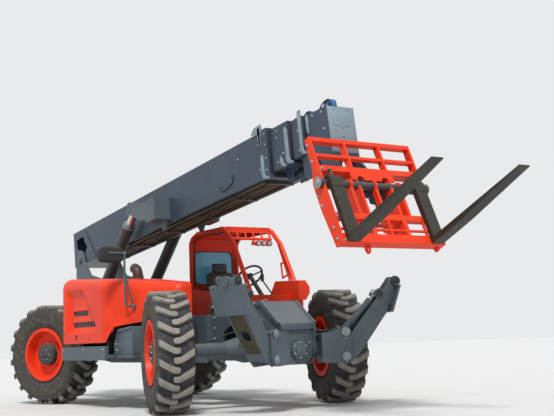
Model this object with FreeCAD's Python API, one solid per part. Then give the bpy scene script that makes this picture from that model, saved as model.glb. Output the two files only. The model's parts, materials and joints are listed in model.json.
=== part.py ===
import FreeCAD
import Part
import math
import os

# Rough-terrain telehandler, built in millimetres as separate pieces in one frame.
# X points forward, Y to the machine's left and Z up. While it is drawn, the origin lies on
# the ground midway between the axles. Each piece is moved by origin_shift() when it is saved.

Vector = FreeCAD.Vector

# Wheels and axles
WHEELBASE = 3500
AXLE_X = WHEELBASE / 2
TYRE_RADIUS = 655
AXLE_Z = TYRE_RADIUS
KINGPIN_Y = 850
WHEEL_OFFSET = 230
TYRE_HALF_WIDTH = 205
TYRE_SECTORS = 36
LUGS_PER_ROW = 20
LUG_HEIGHT = 50
BEAD_RADIUS = 325
RIM_RADIUS = 350
SPINDLE_RADIUS = 40
STEER_FRONT = -17.5
STEER_REAR = 23.9
AXLE_PIVOT_RADIUS = 55
AXLE_PIVOT_DROP = 25

# Boom, drawn level about its pivot and then raised by BOOM_ANGLE
BOOM_ANGLE = 5.9
PIVOT_X = -2600
PIVOT_Z = 2000
PIVOT_PIN_RADIUS = 45
BOOM_TOP = 470
BOOM_BOTTOM = -50
BOOM_HALF_WIDTH = 245
SECTION_SIDE_STEP = 25
SECTION_TOP_STEP = 15
SECTION_BOTTOM_STEP = 38
SECTION_WALL = 9
GUIDE_LENGTH = 80
GUIDE_GAP = 1
BOOM_REAR = -300
BOOM_FRONT = 5200
SECTION_REARS = (150, 300, 450)
SECTION_FRONTS = (BOOM_FRONT + 360, BOOM_FRONT + 590, BOOM_FRONT + 970)
STAGE_STROKE = 3600
CHEEK_DEPTH = 12

# Straps on a section's sides; low counts from its bottom and high from its top
STRAPS = (
    {"section": 0, "along": BOOM_FRONT - 125, "width": 60, "thickness": 12, "low": -20, "high": -260},
    {"section": 0, "along": BOOM_FRONT - 150, "width": 50, "thickness": 12, "low": 370, "high": 60},
    {"section": 1, "along": BOOM_FRONT + 200, "width": 50, "thickness": 10, "low": 0, "high": -350},
    {"section": 1, "along": BOOM_FRONT + 320, "width": 55, "thickness": 12, "low": 0, "high": -60},
    {"section": 2, "along": BOOM_FRONT + 550, "width": 50, "thickness": 12, "low": 0, "high": 60},
    {"section": 3, "along": BOOM_FRONT + 650, "width": 40, "thickness": 10, "low": 160, "high": 0},
)
# Hose sheaves on top of the inner sections
SHEAVES = (
    {"section": 1, "along": BOOM_FRONT + 260, "radius": 45},
    {"section": 2, "along": BOOM_FRONT + 490, "radius": 55},
    {"section": 3, "along": BOOM_FRONT + 830, "radius": 75},
)

# Frame
RAIL_Y = 285
RAIL_THICKNESS = 18
RAIL_BOTTOM = 510
RAIL_TOP = 1060
RAIL_REAR = PIVOT_X - 150
FRAME_SPLIT = AXLE_X - 600
FRONT_END = AXLE_X + 856
FRONT_HALF_WIDTH = 215
BALLAST_DEPTH = 190
TOW_LENGTH = 50
TOW_HOLE_INSET = 22
TOW_HOLE_RADIUS = 16
REAR_END = RAIL_REAR - BALLAST_DEPTH - TOW_LENGTH

# Carriage: W runs up its slanted plane and V points forward, along the forks
LEAN = 24.5
CARRIAGE_X = 4290
CARRIAGE_Z = 1600
CARRIAGE_HEIGHT = 1150
CARRIAGE_HALF_WIDTH = 620
CARRIAGE_PIVOT_V = -185
CARRIAGE_PIVOT_W = 655
SHAFT_V = -30
SHAFT_W = 645
SHAFT_RADIUS = 36
FORK_Y = 505
FORK_WIDTH = 130
FORK_LENGTH = 1300
FORK_THICKNESS = 55
FORK_TIP_W = 34
LIFTING_LUG_Y = 284
LIFTING_HOLE = (-86, -28)
LIFTING_HOLE_RADIUS = 16

# Cylinders
LIFT_Y = 368
LIFT_BASE = (PIVOT_X + 700, PIVOT_Z - 800)
LIFT_EYE = (PIVOT_X + 2100, PIVOT_Z + 500)
LIFT_BARREL_RADIUS = 78
LIFT_ROD_RADIUS = 50
LIFT_BARREL_LENGTH = 1650
EAR_GAP = 86
TILT_BASE = (CARRIAGE_X - 1110, CARRIAGE_Z + 840)
TILT_EYE_V = -245
TILT_EYE_W = 330
TILT_BARREL_RADIUS = 55
TILT_ROD_RADIUS = 30
TILT_BARREL_LENGTH = 560

# Outriggers: each swings in an upright plane splayed forward of sideways by OUTRIGGER_SPLAY
OUTRIGGER_X = FRONT_END + 127
OUTRIGGER_Y = 500
OUTRIGGER_Z = 548
OUTRIGGER_SPLAY = 22.8
OUTRIGGER_RAISED = 53.5
OUTRIGGER_LENGTH = 975
OUTRIGGER_HALF_WIDTH = 110
OUTRIGGER_DEPTH = 112
OUTRIGGER_FOOT_SIZE = (302, 440)
OUTRIGGER_FOOT_PLACE = (803, 0, -80)
OUTRIGGER_FOOT_ANGLE = 17.5
OUTRIGGER_CYLINDER_RISE = 260
OUTRIGGER_EYE_ALONG = 760
OUTRIGGER_EYE_UP = 75
OUTRIGGER_BARREL_RADIUS = 40
OUTRIGGER_ROD_RADIUS = 24
OUTRIGGER_BARREL_LENGTH = 460

# Engine pod on the right
HOOD_HINGE_Y = -500
HOOD_HINGE_Z = 1500
HOOD_OUTER_Y = -1230
HOOD_REAR = -AXLE_X + 820
HOOD_SHOULDER_X = AXLE_X - 1350
HOOD_FRONT_X = AXLE_X - 520
HOOD_FRONT_Y = -690
HOOD_BOTTOM = 780
HOOD_FRONT_BOTTOM = 1100
HOOD_WALL = 12
HOOD_HINGE_PLACES = (HOOD_REAR + 190, HOOD_SHOULDER_X - 190)
# Vent slots: lower edge and height
HOOD_VENTS = ((1190, 20), (1120, 20), (1030, 30), (970, 20))
POD_REAR = -AXLE_X + 810
POD_FRONT = AXLE_X - 860

# Cab on the left; its front posts run from the knee down to the foot
CAB_INNER_Y = 475
CAB_OUTER_Y = 1250
CAB_REAR_X = -645
CAB_TOP_FRONT_X = AXLE_X - 1440
CAB_KNEE_X = AXLE_X - 1235
CAB_KNEE_Z = 1975
CAB_FOOT_X = AXLE_X - 850
CAB_FOOT_Z = 1300
CAB_ROOF_Z = 2208
CAB_FLOOR_Z = 980
CAB_SILL_Z = 1460
COWL_TOP = 1490
COWL_INNER_Y = 1085
TUBE_RADIUS = 30
ROOF_SLOTS = 5
REAR_WINDOW_Y = (CAB_INNER_Y + 80, CAB_OUTER_Y - 110)
REAR_WINDOW_Z = (1530, 1965)
SEAT_MIDDLE_Y = 820
STEERING_WHEEL = (CAB_FOOT_X - 590, 860, 1576)
STEERING_RADIUS = 170
STEERING_LEAN = math.radians(46)

# Gap left where one piece rests on another
SEAT = 0.3


def box(x_range, y_range, z_range):
    """Return a block between two corners."""
    size = [b - a for a, b in (x_range, y_range, z_range)]
    corner = Vector(x_range[0], y_range[0], z_range[0])
    return Part.makeBox(size[0], size[1], size[2], corner)


def side_plate(points, y_range):
    """Extrude an (x, z) outline along Y."""
    wire = Part.makePolygon([Vector(x, y_range[0], z) for x, z in list(points) + [points[0]]])
    return Part.Face(wire).extrude(Vector(0, y_range[1] - y_range[0], 0))


def flat_plate(points, z_range):
    """Extrude an (x, y) outline upwards."""
    wire = Part.makePolygon([Vector(x, y, z_range[0]) for x, y in list(points) + [points[0]]])
    return Part.Face(wire).extrude(Vector(0, 0, z_range[1] - z_range[0]))


def cross_plate(points, x_range):
    """Extrude a (y, z) outline along X."""
    wire = Part.makePolygon([Vector(x_range[0], y, z) for y, z in list(points) + [points[0]]])
    return Part.Face(wire).extrude(Vector(x_range[1] - x_range[0], 0, 0))


def rod(start, end, radius):
    """Return a round bar from one point to another."""
    start = Vector(*start)
    axis = Vector(*end) - start
    return Part.makeCylinder(radius, axis.Length, start, axis)


def tube(start, end, radius, bore):
    """Return a round tube from one point to another."""
    return rod(start, end, radius).cut(rod(start, end, bore))


def pin(x, z, radius, y_range):
    """Return a round bar along Y."""
    return rod((x, y_range[0], z), (x, y_range[1], z), radius)


def join(pieces):
    """Fuse a list of solids into one and drop its inner seams."""
    result = pieces[0]
    if len(pieces) > 1:
        result = result.fuse(pieces[1:])
    return result.removeSplitter()


def cut(shape, tools):
    """Cut a list of solids out of a shape."""
    return shape.cut(tools).removeSplitter()


def mirrored(shape):
    """Return the shape's mirror image on the machine's other side."""
    return shape.mirror(Vector(0, 0, 0), Vector(0, 1, 0))


def flat_solid(faces):
    """Return the solid bounded by flat faces, each given as a list of points."""
    shell = Part.makeShell([Part.Face(Part.makePolygon(face + [face[0]])) for face in faces])
    shell.sewShape()
    solid = Part.makeSolid(shell)
    if solid.Volume < 0:
        solid.reverse()
    return solid


def turned(shape, centre, axis, angle):
    """Return a copy turned about an axis through a point."""
    copy = shape.copy()
    copy.rotate(Vector(*centre), Vector(*axis), angle)
    return copy


def bent_pipe(points, radius):
    """Return a round bar that follows straight runs, with a ball at each bend."""
    runs = [rod(a, b, radius) for a, b in zip(points, points[1:])]
    balls = [Part.makeSphere(radius, Vector(*p)) for p in points[1:-1]]
    return join(runs + balls)


def raised(shape):
    """Turn a piece drawn level about the boom's pivot to the boom's angle."""
    moved = shape.copy()
    moved.translate(Vector(PIVOT_X, 0, PIVOT_Z))
    return turned(moved, (PIVOT_X, 0, PIVOT_Z), (0, 1, 0), -BOOM_ANGLE)


def boom_point(along, above):
    """Return the (x, z) place of a point given along and above the level boom."""
    angle = math.radians(BOOM_ANGLE)
    x = PIVOT_X + along * math.cos(angle) - above * math.sin(angle)
    z = PIVOT_Z + along * math.sin(angle) + above * math.cos(angle)
    return x, z


def boom_local(x, z):
    """Return a side-view point as a distance along and above the level boom."""
    angle = math.radians(BOOM_ANGLE)
    dx, dz = x - PIVOT_X, z - PIVOT_Z
    return dx * math.cos(angle) + dz * math.sin(angle), dz * math.cos(angle) - dx * math.sin(angle)


def carriage_point(v, w):
    """Return the (x, z) place of a point given in the carriage's slanted plane."""
    angle = math.radians(LEAN)
    x = CARRIAGE_X + v * math.cos(angle) - w * math.sin(angle)
    z = CARRIAGE_Z + v * math.sin(angle) + w * math.cos(angle)
    return x, z


def leaned(shape):
    """Place a piece drawn upright at the carriage's foot on its slanted plane."""
    moved = shape.copy()
    moved.translate(Vector(CARRIAGE_X, 0, CARRIAGE_Z))
    return turned(moved, (CARRIAGE_X, 0, CARRIAGE_Z), (0, 1, 0), -LEAN)


def splayed(shape):
    """Place a piece drawn in the plane of X and Z at the left outrigger's lower pin.

    X is outward in the drawing and Z is up.
    """
    moved = turned(shape, (0, 0, 0), (0, 0, 1), 90 - OUTRIGGER_SPLAY)
    moved.translate(Vector(OUTRIGGER_X, OUTRIGGER_Y, OUTRIGGER_Z))
    return moved


def outrigger_eye():
    """Return the drawn place of the outrigger cylinder's rod eye."""
    angle = math.radians(OUTRIGGER_RAISED)
    x = OUTRIGGER_EYE_ALONG * math.cos(angle) - OUTRIGGER_EYE_UP * math.sin(angle)
    z = OUTRIGGER_EYE_ALONG * math.sin(angle) + OUTRIGGER_EYE_UP * math.cos(angle)
    return x, z


# Frame and axles


def make_main_frame():
    """Side rails, boom tower, cross members, lift cylinder seats and the rear axle's cradle."""
    rail = [(RAIL_REAR + 100, RAIL_BOTTOM + 90), (PIVOT_X + 250, RAIL_BOTTOM), (FRAME_SPLIT, RAIL_BOTTOM),
            (FRAME_SPLIT, RAIL_TOP), (PIVOT_X + 1300, RAIL_TOP), (PIVOT_X + 1040, PIVOT_Z - 580),
            (PIVOT_X + 800, PIVOT_Z - 320), (PIVOT_X + 400, PIVOT_Z - 240), (PIVOT_X + 160, PIVOT_Z - 10),
            (PIVOT_X + 110, PIVOT_Z + 90), (PIVOT_X + 40, PIVOT_Z + 150), (PIVOT_X - 50, PIVOT_Z + 150),
            (PIVOT_X - 120, PIVOT_Z + 90), (RAIL_REAR, PIVOT_Z - 10), (RAIL_REAR, RAIL_TOP)]
    left = side_plate(rail, (RAIL_Y - RAIL_THICKNESS, RAIL_Y))
    pieces = [left, mirrored(left)]
    inner = RAIL_Y - RAIL_THICKNESS
    cross_members = ((PIVOT_X, (750, 1500)), (PIVOT_X + 350, (900, 1200)), (PIVOT_X + 1350, (850, 1000)),
                     (0, (560, 700)), (FRAME_SPLIT - 150, (560, 1000)))
    for x, z_range in cross_members:
        pieces.append(box((x - 60, x + 60), (-inner - 1, inner + 1), z_range))
    pieces.append(pin(PIVOT_X, PIVOT_Z, PIVOT_PIN_RADIUS, (-RAIL_Y - 25, RAIL_Y + 25)))
    # Outer ear of each lift cylinder's seat, past the barrel, and the shelf and pin that carry it
    base_x, base_z = LIFT_BASE
    ear = [(base_x - 120, RAIL_TOP - 60), (base_x - 70, base_z + 40), (base_x - 30, base_z + 75),
           (base_x + 30, base_z + 75), (base_x + 75, base_z + 30), (base_x + 200, RAIL_TOP - 60)]
    ear_y = LIFT_Y + LIFT_BARREL_RADIUS + 6
    seats = [side_plate(ear, (ear_y, ear_y + 18)),
             box((base_x - 120, base_x + 200), (RAIL_Y - 1, ear_y + 18), (RAIL_TOP - 100, RAIL_TOP - 59)),
             pin(base_x, base_z, 40, (RAIL_Y - 2, ear_y + 24))]
    for piece in seats:
        pieces += [piece, mirrored(piece)]
    # Cradle that carries the rear axle
    for x in (-AXLE_X - 190, -AXLE_X + 150):
        pieces.append(box((x, x + 40), (-inner - 1, inner + 1), (AXLE_Z + 125, AXLE_Z + 260)))
    axle_way = [pin(-AXLE_X, AXLE_Z - 20, 165, (-400, 400)),
                box((-AXLE_X - 290, -AXLE_X + 180), (-400, 400), (RAIL_BOTTOM - 10, AXLE_Z + 115))]
    return cut(join(pieces), axle_way)


def outrigger_beam(grow):
    """Return the left half of the beam that carries the outriggers, grown all round."""
    return box((FRONT_END - 166 - grow, FRONT_END - 6 + grow), (FRONT_HALF_WIDTH - 10 - grow, 470 + grow),
               (540 - grow, 800 + grow))


def make_front_frame():
    """Front box with its sloping top plate, the axle's pivot bearing and the outrigger beam."""
    wall = 20
    half = FRONT_HALF_WIDTH
    rear = FRAME_SPLIT + 1
    slope_x = FRONT_END - 336
    outline = [(rear, 700), (rear, 1160), (slope_x, 1160), (FRONT_END, 912), (FRONT_END - 26, 540),
               (FRONT_END - 66, 480), (FRONT_END - 136, 470), (FRONT_END - 206, 520), (FRONT_END - 226, 800),
               (AXLE_X + 300, 860), (AXLE_X + 150, 930), (AXLE_X - 150, 930), (AXLE_X - 310, 860), (AXLE_X - 350, 700)]
    side = side_plate(outline, (half - wall, half))
    top_plate = [(rear, 1140), (rear, 1160), (slope_x, 1160), (FRONT_END, 912), (FRONT_END - 11, 895),
                 (slope_x - 7, 1140)]
    # Raised flange along each top edge, and the lips at each side of the sloping front
    flange = [(rear + 20, 1120), (rear + 20, 1172), (slope_x + 4, 1172), (FRONT_END + 10, 920),
              (FRONT_END - 14, 892), (slope_x - 8, 1120)]
    lip = [(FRONT_END - 10, 912), (FRONT_END + 36, 890), (FRONT_END + 36, 600), (FRONT_END - 10, 560)]
    pieces = [side, side_plate(flange, (half, half + 25)), side_plate(lip, (half - 23, half - 3)), outrigger_beam(0)]
    pieces += [mirrored(piece) for piece in pieces]
    pieces.append(side_plate(top_plate, (-half, half)))
    pieces.append(box((FRAME_SPLIT + SEAT, FRAME_SPLIT + 25), (-RAIL_Y, RAIL_Y), (560, RAIL_TOP)))
    bottom_curve = [(half - 23, 912), (half - 23, 640), (165, 545), (95, 480)]
    front = bottom_curve + [(-y, z) for y, z in reversed(bottom_curve)]
    pieces.append(cross_plate(front, (FRONT_END - 46, FRONT_END)))
    pieces.append(box((FRONT_END - 2, FRONT_END + 34), (-half + 4, half - 4), (850, 862)))
    pieces.append(box((FRONT_END - 221, FRONT_END - 186), (-half, half), (500, 900)))
    bearing_z = AXLE_Z - AXLE_PIVOT_DROP
    bearings = ((FRONT_END - 226, FRONT_END + 34, 92), (FRONT_END + 34, FRONT_END + 62, 55),
                (FRAME_SPLIT + 1, FRAME_SPLIT + 110, 92))
    for start, end, radius in bearings:
        pieces.append(rod((start, 0, bearing_z), (end, 0, bearing_z), radius))
    bore = AXLE_PIVOT_RADIUS + 1
    cutters = [rod((FRAME_SPLIT - 50, 0, bearing_z), (FRAME_SPLIT + 120, 0, bearing_z), bore),
               rod((FRONT_END - 236, 0, bearing_z), (FRONT_END - 46, 0, bearing_z), bore)]
    # Channel along the beam's front face
    recess = box((FRONT_END - 46, FRONT_END - 5), (half + 5, 462), (565, 775))
    return cut(join(pieces), cutters + [recess, mirrored(recess)])


def make_outrigger_bracket():
    """Left outrigger's hinge plates on the front beam, with its two pins."""
    plate_gap = OUTRIGGER_HALF_WIDTH + 8
    outline = [(-260, -60), (-60, -70), (30, -60), (62, 0), (60, OUTRIGGER_CYLINDER_RISE + 10),
               (30, OUTRIGGER_CYLINDER_RISE + 45), (-40, OUTRIGGER_CYLINDER_RISE + 45), (-160, 255), (-260, 255)]
    pieces = []
    for low in (-plate_gap - 20, plate_gap):
        pieces.append(side_plate(outline, (low, low + 20)))
    pieces.append(box((-260, -150), (-plate_gap, plate_gap), (-60, 255)))
    for z in (0, OUTRIGGER_CYLINDER_RISE):
        pieces.append(pin(0, z, 28, (-plate_gap - 30, plate_gap + 30)))
    return cut(splayed(join(pieces)), [outrigger_beam(SEAT)])


def make_axle(x, pivot):
    """Axle beam with its differential housing, end yokes and kingpins; the front one has pivot pins."""
    z = AXLE_Z
    pieces = [rod((x, -KINGPIN_Y + 60, z), (x, KINGPIN_Y - 60, z), 78)]
    for side in (-1, 1):
        y = side * KINGPIN_Y
        pieces.append(rod((x, y, z - 110), (x, y, z + 110), 76))
        pieces.append(rod((x, y, z - 160), (x, y, z + 160), 26))
        cone_end = side * 420
        base = side * 160
        pieces.append(Part.makeCone(150, 85, abs(cone_end - base), Vector(x, base, z), Vector(0, side, 0)))
    pieces.append(rod((x, -165, z), (x, 165, z), 150))
    pieces.append(box((x - 190, x + 150), (-70, 70), (z - 70, z + 70)))
    if pivot:
        bearing = z - AXLE_PIVOT_DROP
        pieces.append(rod((FRAME_SPLIT + 30, 0, bearing), (FRONT_END - 126, 0, bearing), AXLE_PIVOT_RADIUS))
        pieces.append(box((FRAME_SPLIT + 140, FRONT_END - 246), (-90, 90), (bearing - 80, bearing + 90)))
    else:
        pieces.append(box((x - 180, x + 180), (-220, 220), (z + 60, z + 125 - SEAT)))
    # Steering cylinder on the side away from the machine's middle
    out = 1 if x > 0 else -1
    steer_x = x + out * 215
    pieces.append(rod((steer_x, -260, z + 40), (steer_x, 260, z + 40), 48))
    pieces.append(rod((steer_x, -330, z + 40), (steer_x, 330, z + 40), 24))
    for y in (-200, 160):
        pieces.append(box((min(x, steer_x), max(x, steer_x)), (y, y + 40), (z - 10, z + 40)))
    return join(pieces)


def make_knuckle(x, side, steer):
    """Steering knuckle: two arms over the axle's end, a back plate and the wheel's spindle."""
    z = AXLE_Z
    pieces = []
    for low in (z + 115, z - 145):
        arm = rod((x, KINGPIN_Y, low), (x, KINGPIN_Y, low + 30), 70)
        pieces += [arm, box((x - 70, x + 70), (KINGPIN_Y, KINGPIN_Y + 125), (low, low + 30))]
    pieces.append(box((x - 70, x + 70), (KINGPIN_Y + 90, KINGPIN_Y + 125), (z - 145, z + 145)))
    pieces.append(rod((x, KINGPIN_Y + 100, z), (x, KINGPIN_Y + 200, z), 130))
    pieces.append(rod((x, KINGPIN_Y + 200, z), (x, KINGPIN_Y + WHEEL_OFFSET + 20, z), 90))
    pieces.append(rod((x, KINGPIN_Y + 200, z), (x, KINGPIN_Y + WHEEL_OFFSET + 110, z), SPINDLE_RADIUS))
    shape = cut(join(pieces), [rod((x, KINGPIN_Y, z - 200), (x, KINGPIN_Y, z + 200), 27)])
    return place_wheel_piece(shape, x, side, steer)


def place_wheel_piece(shape, x, side, steer):
    """Turn a piece drawn at the left wheel about the machine's middle, then steer it."""
    if side < 0:
        shape = turned(shape, (x, 0, 0), (0, 0, 1), 180)
    return turned(shape, (x, side * KINGPIN_Y, 0), (0, 0, 1), steer)


def wheel_point(y, angle, radius):
    """Return a point of the left wheel, with the angle about its axis counted upwards from +X."""
    return Vector(radius * math.cos(angle), y, radius * math.sin(angle))


def tyre_ring():
    """Return the tyre's carcass as a ring of flat facets about the Y axis."""
    half = TYRE_HALF_WIDTH
    profile = [(-half + 47, BEAD_RADIUS), (-half, TYRE_RADIUS - 185), (-half + 27, TYRE_RADIUS - LUG_HEIGHT),
               (half - 27, TYRE_RADIUS - LUG_HEIGHT), (half, TYRE_RADIUS - 185), (half - 47, BEAD_RADIUS)]
    flat = math.cos(math.pi / TYRE_SECTORS)
    faces = []
    for sector in range(TYRE_SECTORS):
        start, end = (2 * math.pi * (sector + turn) / TYRE_SECTORS for turn in (0, 1))
        for (y1, r1), (y2, r2) in zip(profile, profile[1:] + profile[:1]):
            faces.append([wheel_point(y1, start, r1 / flat), wheel_point(y1, end, r1 / flat),
                          wheel_point(y2, end, r2 / flat), wheel_point(y2, start, r2 / flat)])
    return flat_solid(faces)


def tyre_lug(row, angle):
    """Return one slanted lug of the row on side row, its shoulder end centred at an angle."""
    shoulder = -25
    low = TYRE_RADIUS - 65
    # The two ends of the lug: y, shift along the tread, half width and top radius.
    # The shoulder's flat top is what touches the ground.
    ends = [(28, 62, 30, TYRE_RADIUS),
            (27 - TYRE_HALF_WIDTH, shoulder, 36, TYRE_RADIUS / math.cos(36 / TYRE_RADIUS))]
    rings = []
    for y, shift, half_width, top in ends:
        spread = half_width / TYRE_RADIUS
        middle = angle - (shift - shoulder) / TYRE_RADIUS
        rings.append([wheel_point(-row * y, middle + sign * spread, radius)
                      for sign, radius in ((-1, low), (1, low), (1, top), (-1, top))])
    inner, outer = rings
    faces = [inner, outer]
    for i in range(4):
        j = (i + 1) % 4
        faces += [[inner[i], inner[j], outer[j]], [inner[i], outer[j], outer[i]]]
    return flat_solid(faces)


def tyre_blank():
    """Return the left tyre about the Y axis through the origin, with its two rows of lugs."""
    pitch = 2 * math.pi / LUGS_PER_ROW
    lugs = []
    for row, start in ((-1, -math.pi / 2), (1, -math.pi / 2 + pitch / 2)):
        lugs += [tyre_lug(row, start + pitch * i) for i in range(LUGS_PER_ROW)]
    return tyre_ring().fuse(lugs)


def place_tyre(blank, x, side, steer):
    """Place a copy of the tyre at a wheel, with its lugs mirrored on the right side."""
    tyre = blank.copy()
    if side < 0:
        tyre = mirrored(tyre)
    tyre.translate(Vector(x, side * (KINGPIN_Y + WHEEL_OFFSET), AXLE_Z))
    return turned(tyre, (x, side * KINGPIN_Y, 0), (0, 0, 1), steer)


def ring_about_y(x, points):
    """Revolve a closed (y, radius) outline about the wheel's axis at X = x."""
    wire = Part.makePolygon([Vector(x, y, AXLE_Z + r) for y, r in list(points) + [points[0]]])
    return Part.Face(wire).revolve(Vector(x, 0, AXLE_Z), Vector(0, 1, 0), 360)


def make_rim(x, side, steer):
    """Rim with its flanges, dished disc and planetary hub."""
    middle = KINGPIN_Y + WHEEL_OFFSET
    barrel = [(-190, 296), (-190, RIM_RADIUS), (-172, RIM_RADIUS), (-166, BEAD_RADIUS - SEAT), (166, BEAD_RADIUS - SEAT),
              (172, RIM_RADIUS), (190, RIM_RADIUS), (190, 310), (150, 300), (60, 290), (40, 215), (40, 120),
              (22, 120), (22, 225), (30, 296)]
    bore = SPINDLE_RADIUS + 0.5
    hub = [(24, bore), (24, 175), (70, 175), (84, 150), (150, 140), (168, 100), (172, 0), (115, 0), (115, bore)]
    pieces = [ring_about_y(x, [(middle + y, r) for y, r in barrel])]
    pieces.append(ring_about_y(x, [(middle + y, r) for y, r in hub]))
    return place_wheel_piece(join(pieces), x, side, steer)


def make_rear_ballast():
    """Counterweight across the rear with its tow eye."""
    front, rear = RAIL_REAR - SEAT, RAIL_REAR - BALLAST_DEPTH
    outline = [(front, 620), (front, 1250), (rear + 60, 1250), (rear, 1180), (rear, 700), (rear + 60, 620)]
    pieces = [side_plate(outline, (-640, 640)), box((REAR_END, rear + 5), (-40, 40), (640, 780))]
    hole_x = REAR_END + TOW_HOLE_INSET
    return cut(join(pieces), [rod((hole_x, 0, 600), (hole_x, 0, 820), TOW_HOLE_RADIUS)])


def make_engine():
    """The engine as one plain block."""
    return box((HOOD_REAR + 150, HOOD_SHOULDER_X - 220), (-1080, -560), (800, 1380))


# Right side


def make_pod_frame():
    """Tray under the engine with its grey guard bar."""
    shoulder = HOOD_SHOULDER_X
    pieces = [box((POD_REAR, shoulder), (-1180, -RAIL_Y - SEAT), (600, 640)),
              box((shoulder, POD_FRONT), (-1100, -RAIL_Y - SEAT), (600, 640))]
    guard = [(POD_REAR, 590), (POD_REAR, 740), (shoulder, 740), (shoulder, 590), (shoulder - 60, 575),
             (POD_REAR + 60, 575)]
    pieces.append(side_plate(guard, (-1225, -1180)))
    wall_front = HOOD_FRONT_X - 230
    inner_wall = [(HOOD_REAR + 30, 630), (HOOD_REAR + 30, 1450), (shoulder, 1420), (wall_front, 1360),
                  (wall_front, 1060), (shoulder + 20, 900), (shoulder - 10, 630)]
    pieces.append(side_plate(inner_wall, (-492, -482)))
    for x in (HOOD_REAR + 230, shoulder - 300):
        pieces.append(box((x, x + 40), (-1060, -486), (640, 800 - SEAT)))
    for x in HOOD_HINGE_PLACES:
        pieces.append(rod((x, HOOD_HINGE_Y, HOOD_HINGE_Z), (x + 60, HOOD_HINGE_Y, HOOD_HINGE_Z), 6))
        pieces.append(box((x, x + 60), (-498, -482), (1400, HOOD_HINGE_Z)))
    return join(pieces)


def make_side_box():
    """Chamfered box ahead of the engine, under the hood's rising lower edge."""
    base = 640 + SEAT
    rear, front = HOOD_SHOULDER_X + 30, POD_FRONT + 10
    side = [(rear, base), (rear, hood_bottom(rear) - 20), (front, hood_bottom(front) - 20), (front, base)]
    end = [(-1120, base), (-1120, 820), (-1000, 950), (-560, 950), (-560, base)]
    return side_plate(side, (-1120, -560)).common(cross_plate(end, (rear, front)))


def hood_bottom(x):
    """Return the height of the hood's lower edge at an X ahead of its shoulder."""
    rise = (HOOD_FRONT_BOTTOM - HOOD_BOTTOM) / (HOOD_FRONT_X - HOOD_SHOULDER_X)
    return HOOD_BOTTOM + (x - HOOD_SHOULDER_X) * rise


def hood_outline(x, outer, top, bottom, inset):
    """Return the closed (y, z) outline of the hood at one X, drawn in by inset."""
    inner = HOOD_HINGE_Y - 6 - inset
    outer, top = outer + inset, top - inset
    if inset:
        bottom -= 20
    points = [(inner, bottom), (inner, top), (outer + 150, top), (outer + 85, top - 20), (outer + 32, top - 72),
              (outer, top - 170), (outer, bottom)]
    return Part.makePolygon([Vector(x, y, z) for y, z in points + [points[0]]])


def hood_solid(inset):
    """Return the hood's body and tapering nose as one solid, drawn in by inset."""
    rear = (HOOD_REAR + inset, HOOD_OUTER_Y, 1610, HOOD_BOTTOM, inset)
    shoulder = (HOOD_SHOULDER_X, HOOD_OUTER_Y, 1530, HOOD_BOTTOM, inset)
    front = (HOOD_FRONT_X - inset, HOOD_FRONT_Y, 1440, HOOD_FRONT_BOTTOM, inset)
    body = Part.makeLoft([hood_outline(*rear), hood_outline(*shoulder)], True, True)
    nose = Part.makeLoft([hood_outline(*shoulder), hood_outline(*front)], True, True)
    return body.fuse(nose)


def make_hood():
    """Engine hood: body and tapering nose, hollow, open below and inboard, with its vent slots."""
    shell = hood_solid(0).cut(hood_solid(HOOD_WALL))
    inboard = HOOD_HINGE_Y - 6 - HOOD_WALL * 1.5
    window = side_plate([(HOOD_REAR + 30, 700), (HOOD_REAR + 30, 1480), (HOOD_FRONT_X - 30, 1320),
                         (HOOD_FRONT_X - 30, 700)], (inboard, HOOD_HINGE_Y + 5))
    wall_y = (HOOD_OUTER_Y - 5, HOOD_OUTER_Y + HOOD_WALL + 5)
    slots = [box((HOOD_REAR + 310, HOOD_SHOULDER_X - 340), wall_y, (low, low + height)) for low, height in HOOD_VENTS]
    hinges = [rod((x + 60.5, HOOD_HINGE_Y, HOOD_HINGE_Z), (x + 110.5, HOOD_HINGE_Y, HOOD_HINGE_Z), 6.2)
              for x in HOOD_HINGE_PLACES]
    return join([cut(shell, [window] + slots)] + hinges)


def make_mirror():
    """Right mirror on its tube frame, its foot on the hood's nose."""
    x = HOOD_FRONT_X - 470
    pieces = [box((x - 55, x - 5), (-1450, -1130), (1690, 1885))]
    pieces.append(bent_pipe([(x, -1150, 1800), (x, -1125, 1780), (x, -1125, 1250), (x, -1085, 1190),
                             (x, -1016, 1185)], 14))
    pieces.append(box((x - 12, x + 12), (-1030, -985), (1150, 1215)))
    pieces.append(bent_pipe([(x, -1125, 1560), (x, -1018, 1205)], 10))
    return cut(join(pieces), [hood_solid(-SEAT)])


def make_exhaust():
    """Exhaust elbow on top of the hood, its open mouth turned to the rear."""
    x, y, radius, wall, bend = HOOD_SHOULDER_X - 280, -650, 52, 5, 85
    top = 1600
    flare = Vector(x, y, top)
    section = [Part.Face(Part.Wire(Part.makeCircle(r, flare, Vector(0, 0, 1)))) for r in (radius, radius - wall)]
    elbow = [face.revolve(Vector(x - bend, y, top), Vector(0, -1, 0), 78) for face in section]
    pipe = rod((x, y, 1500), (x, y, top), radius).fuse(elbow[0])
    collar = rod((x, y, 1500), (x, y, 1566), radius + 14)
    solid = cut(join([pipe, collar]), [elbow[1], rod((x, y, top - 30), (x, y, top), radius - wall)])
    return cut(solid, [hood_solid(-SEAT)])


# Left side


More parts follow.
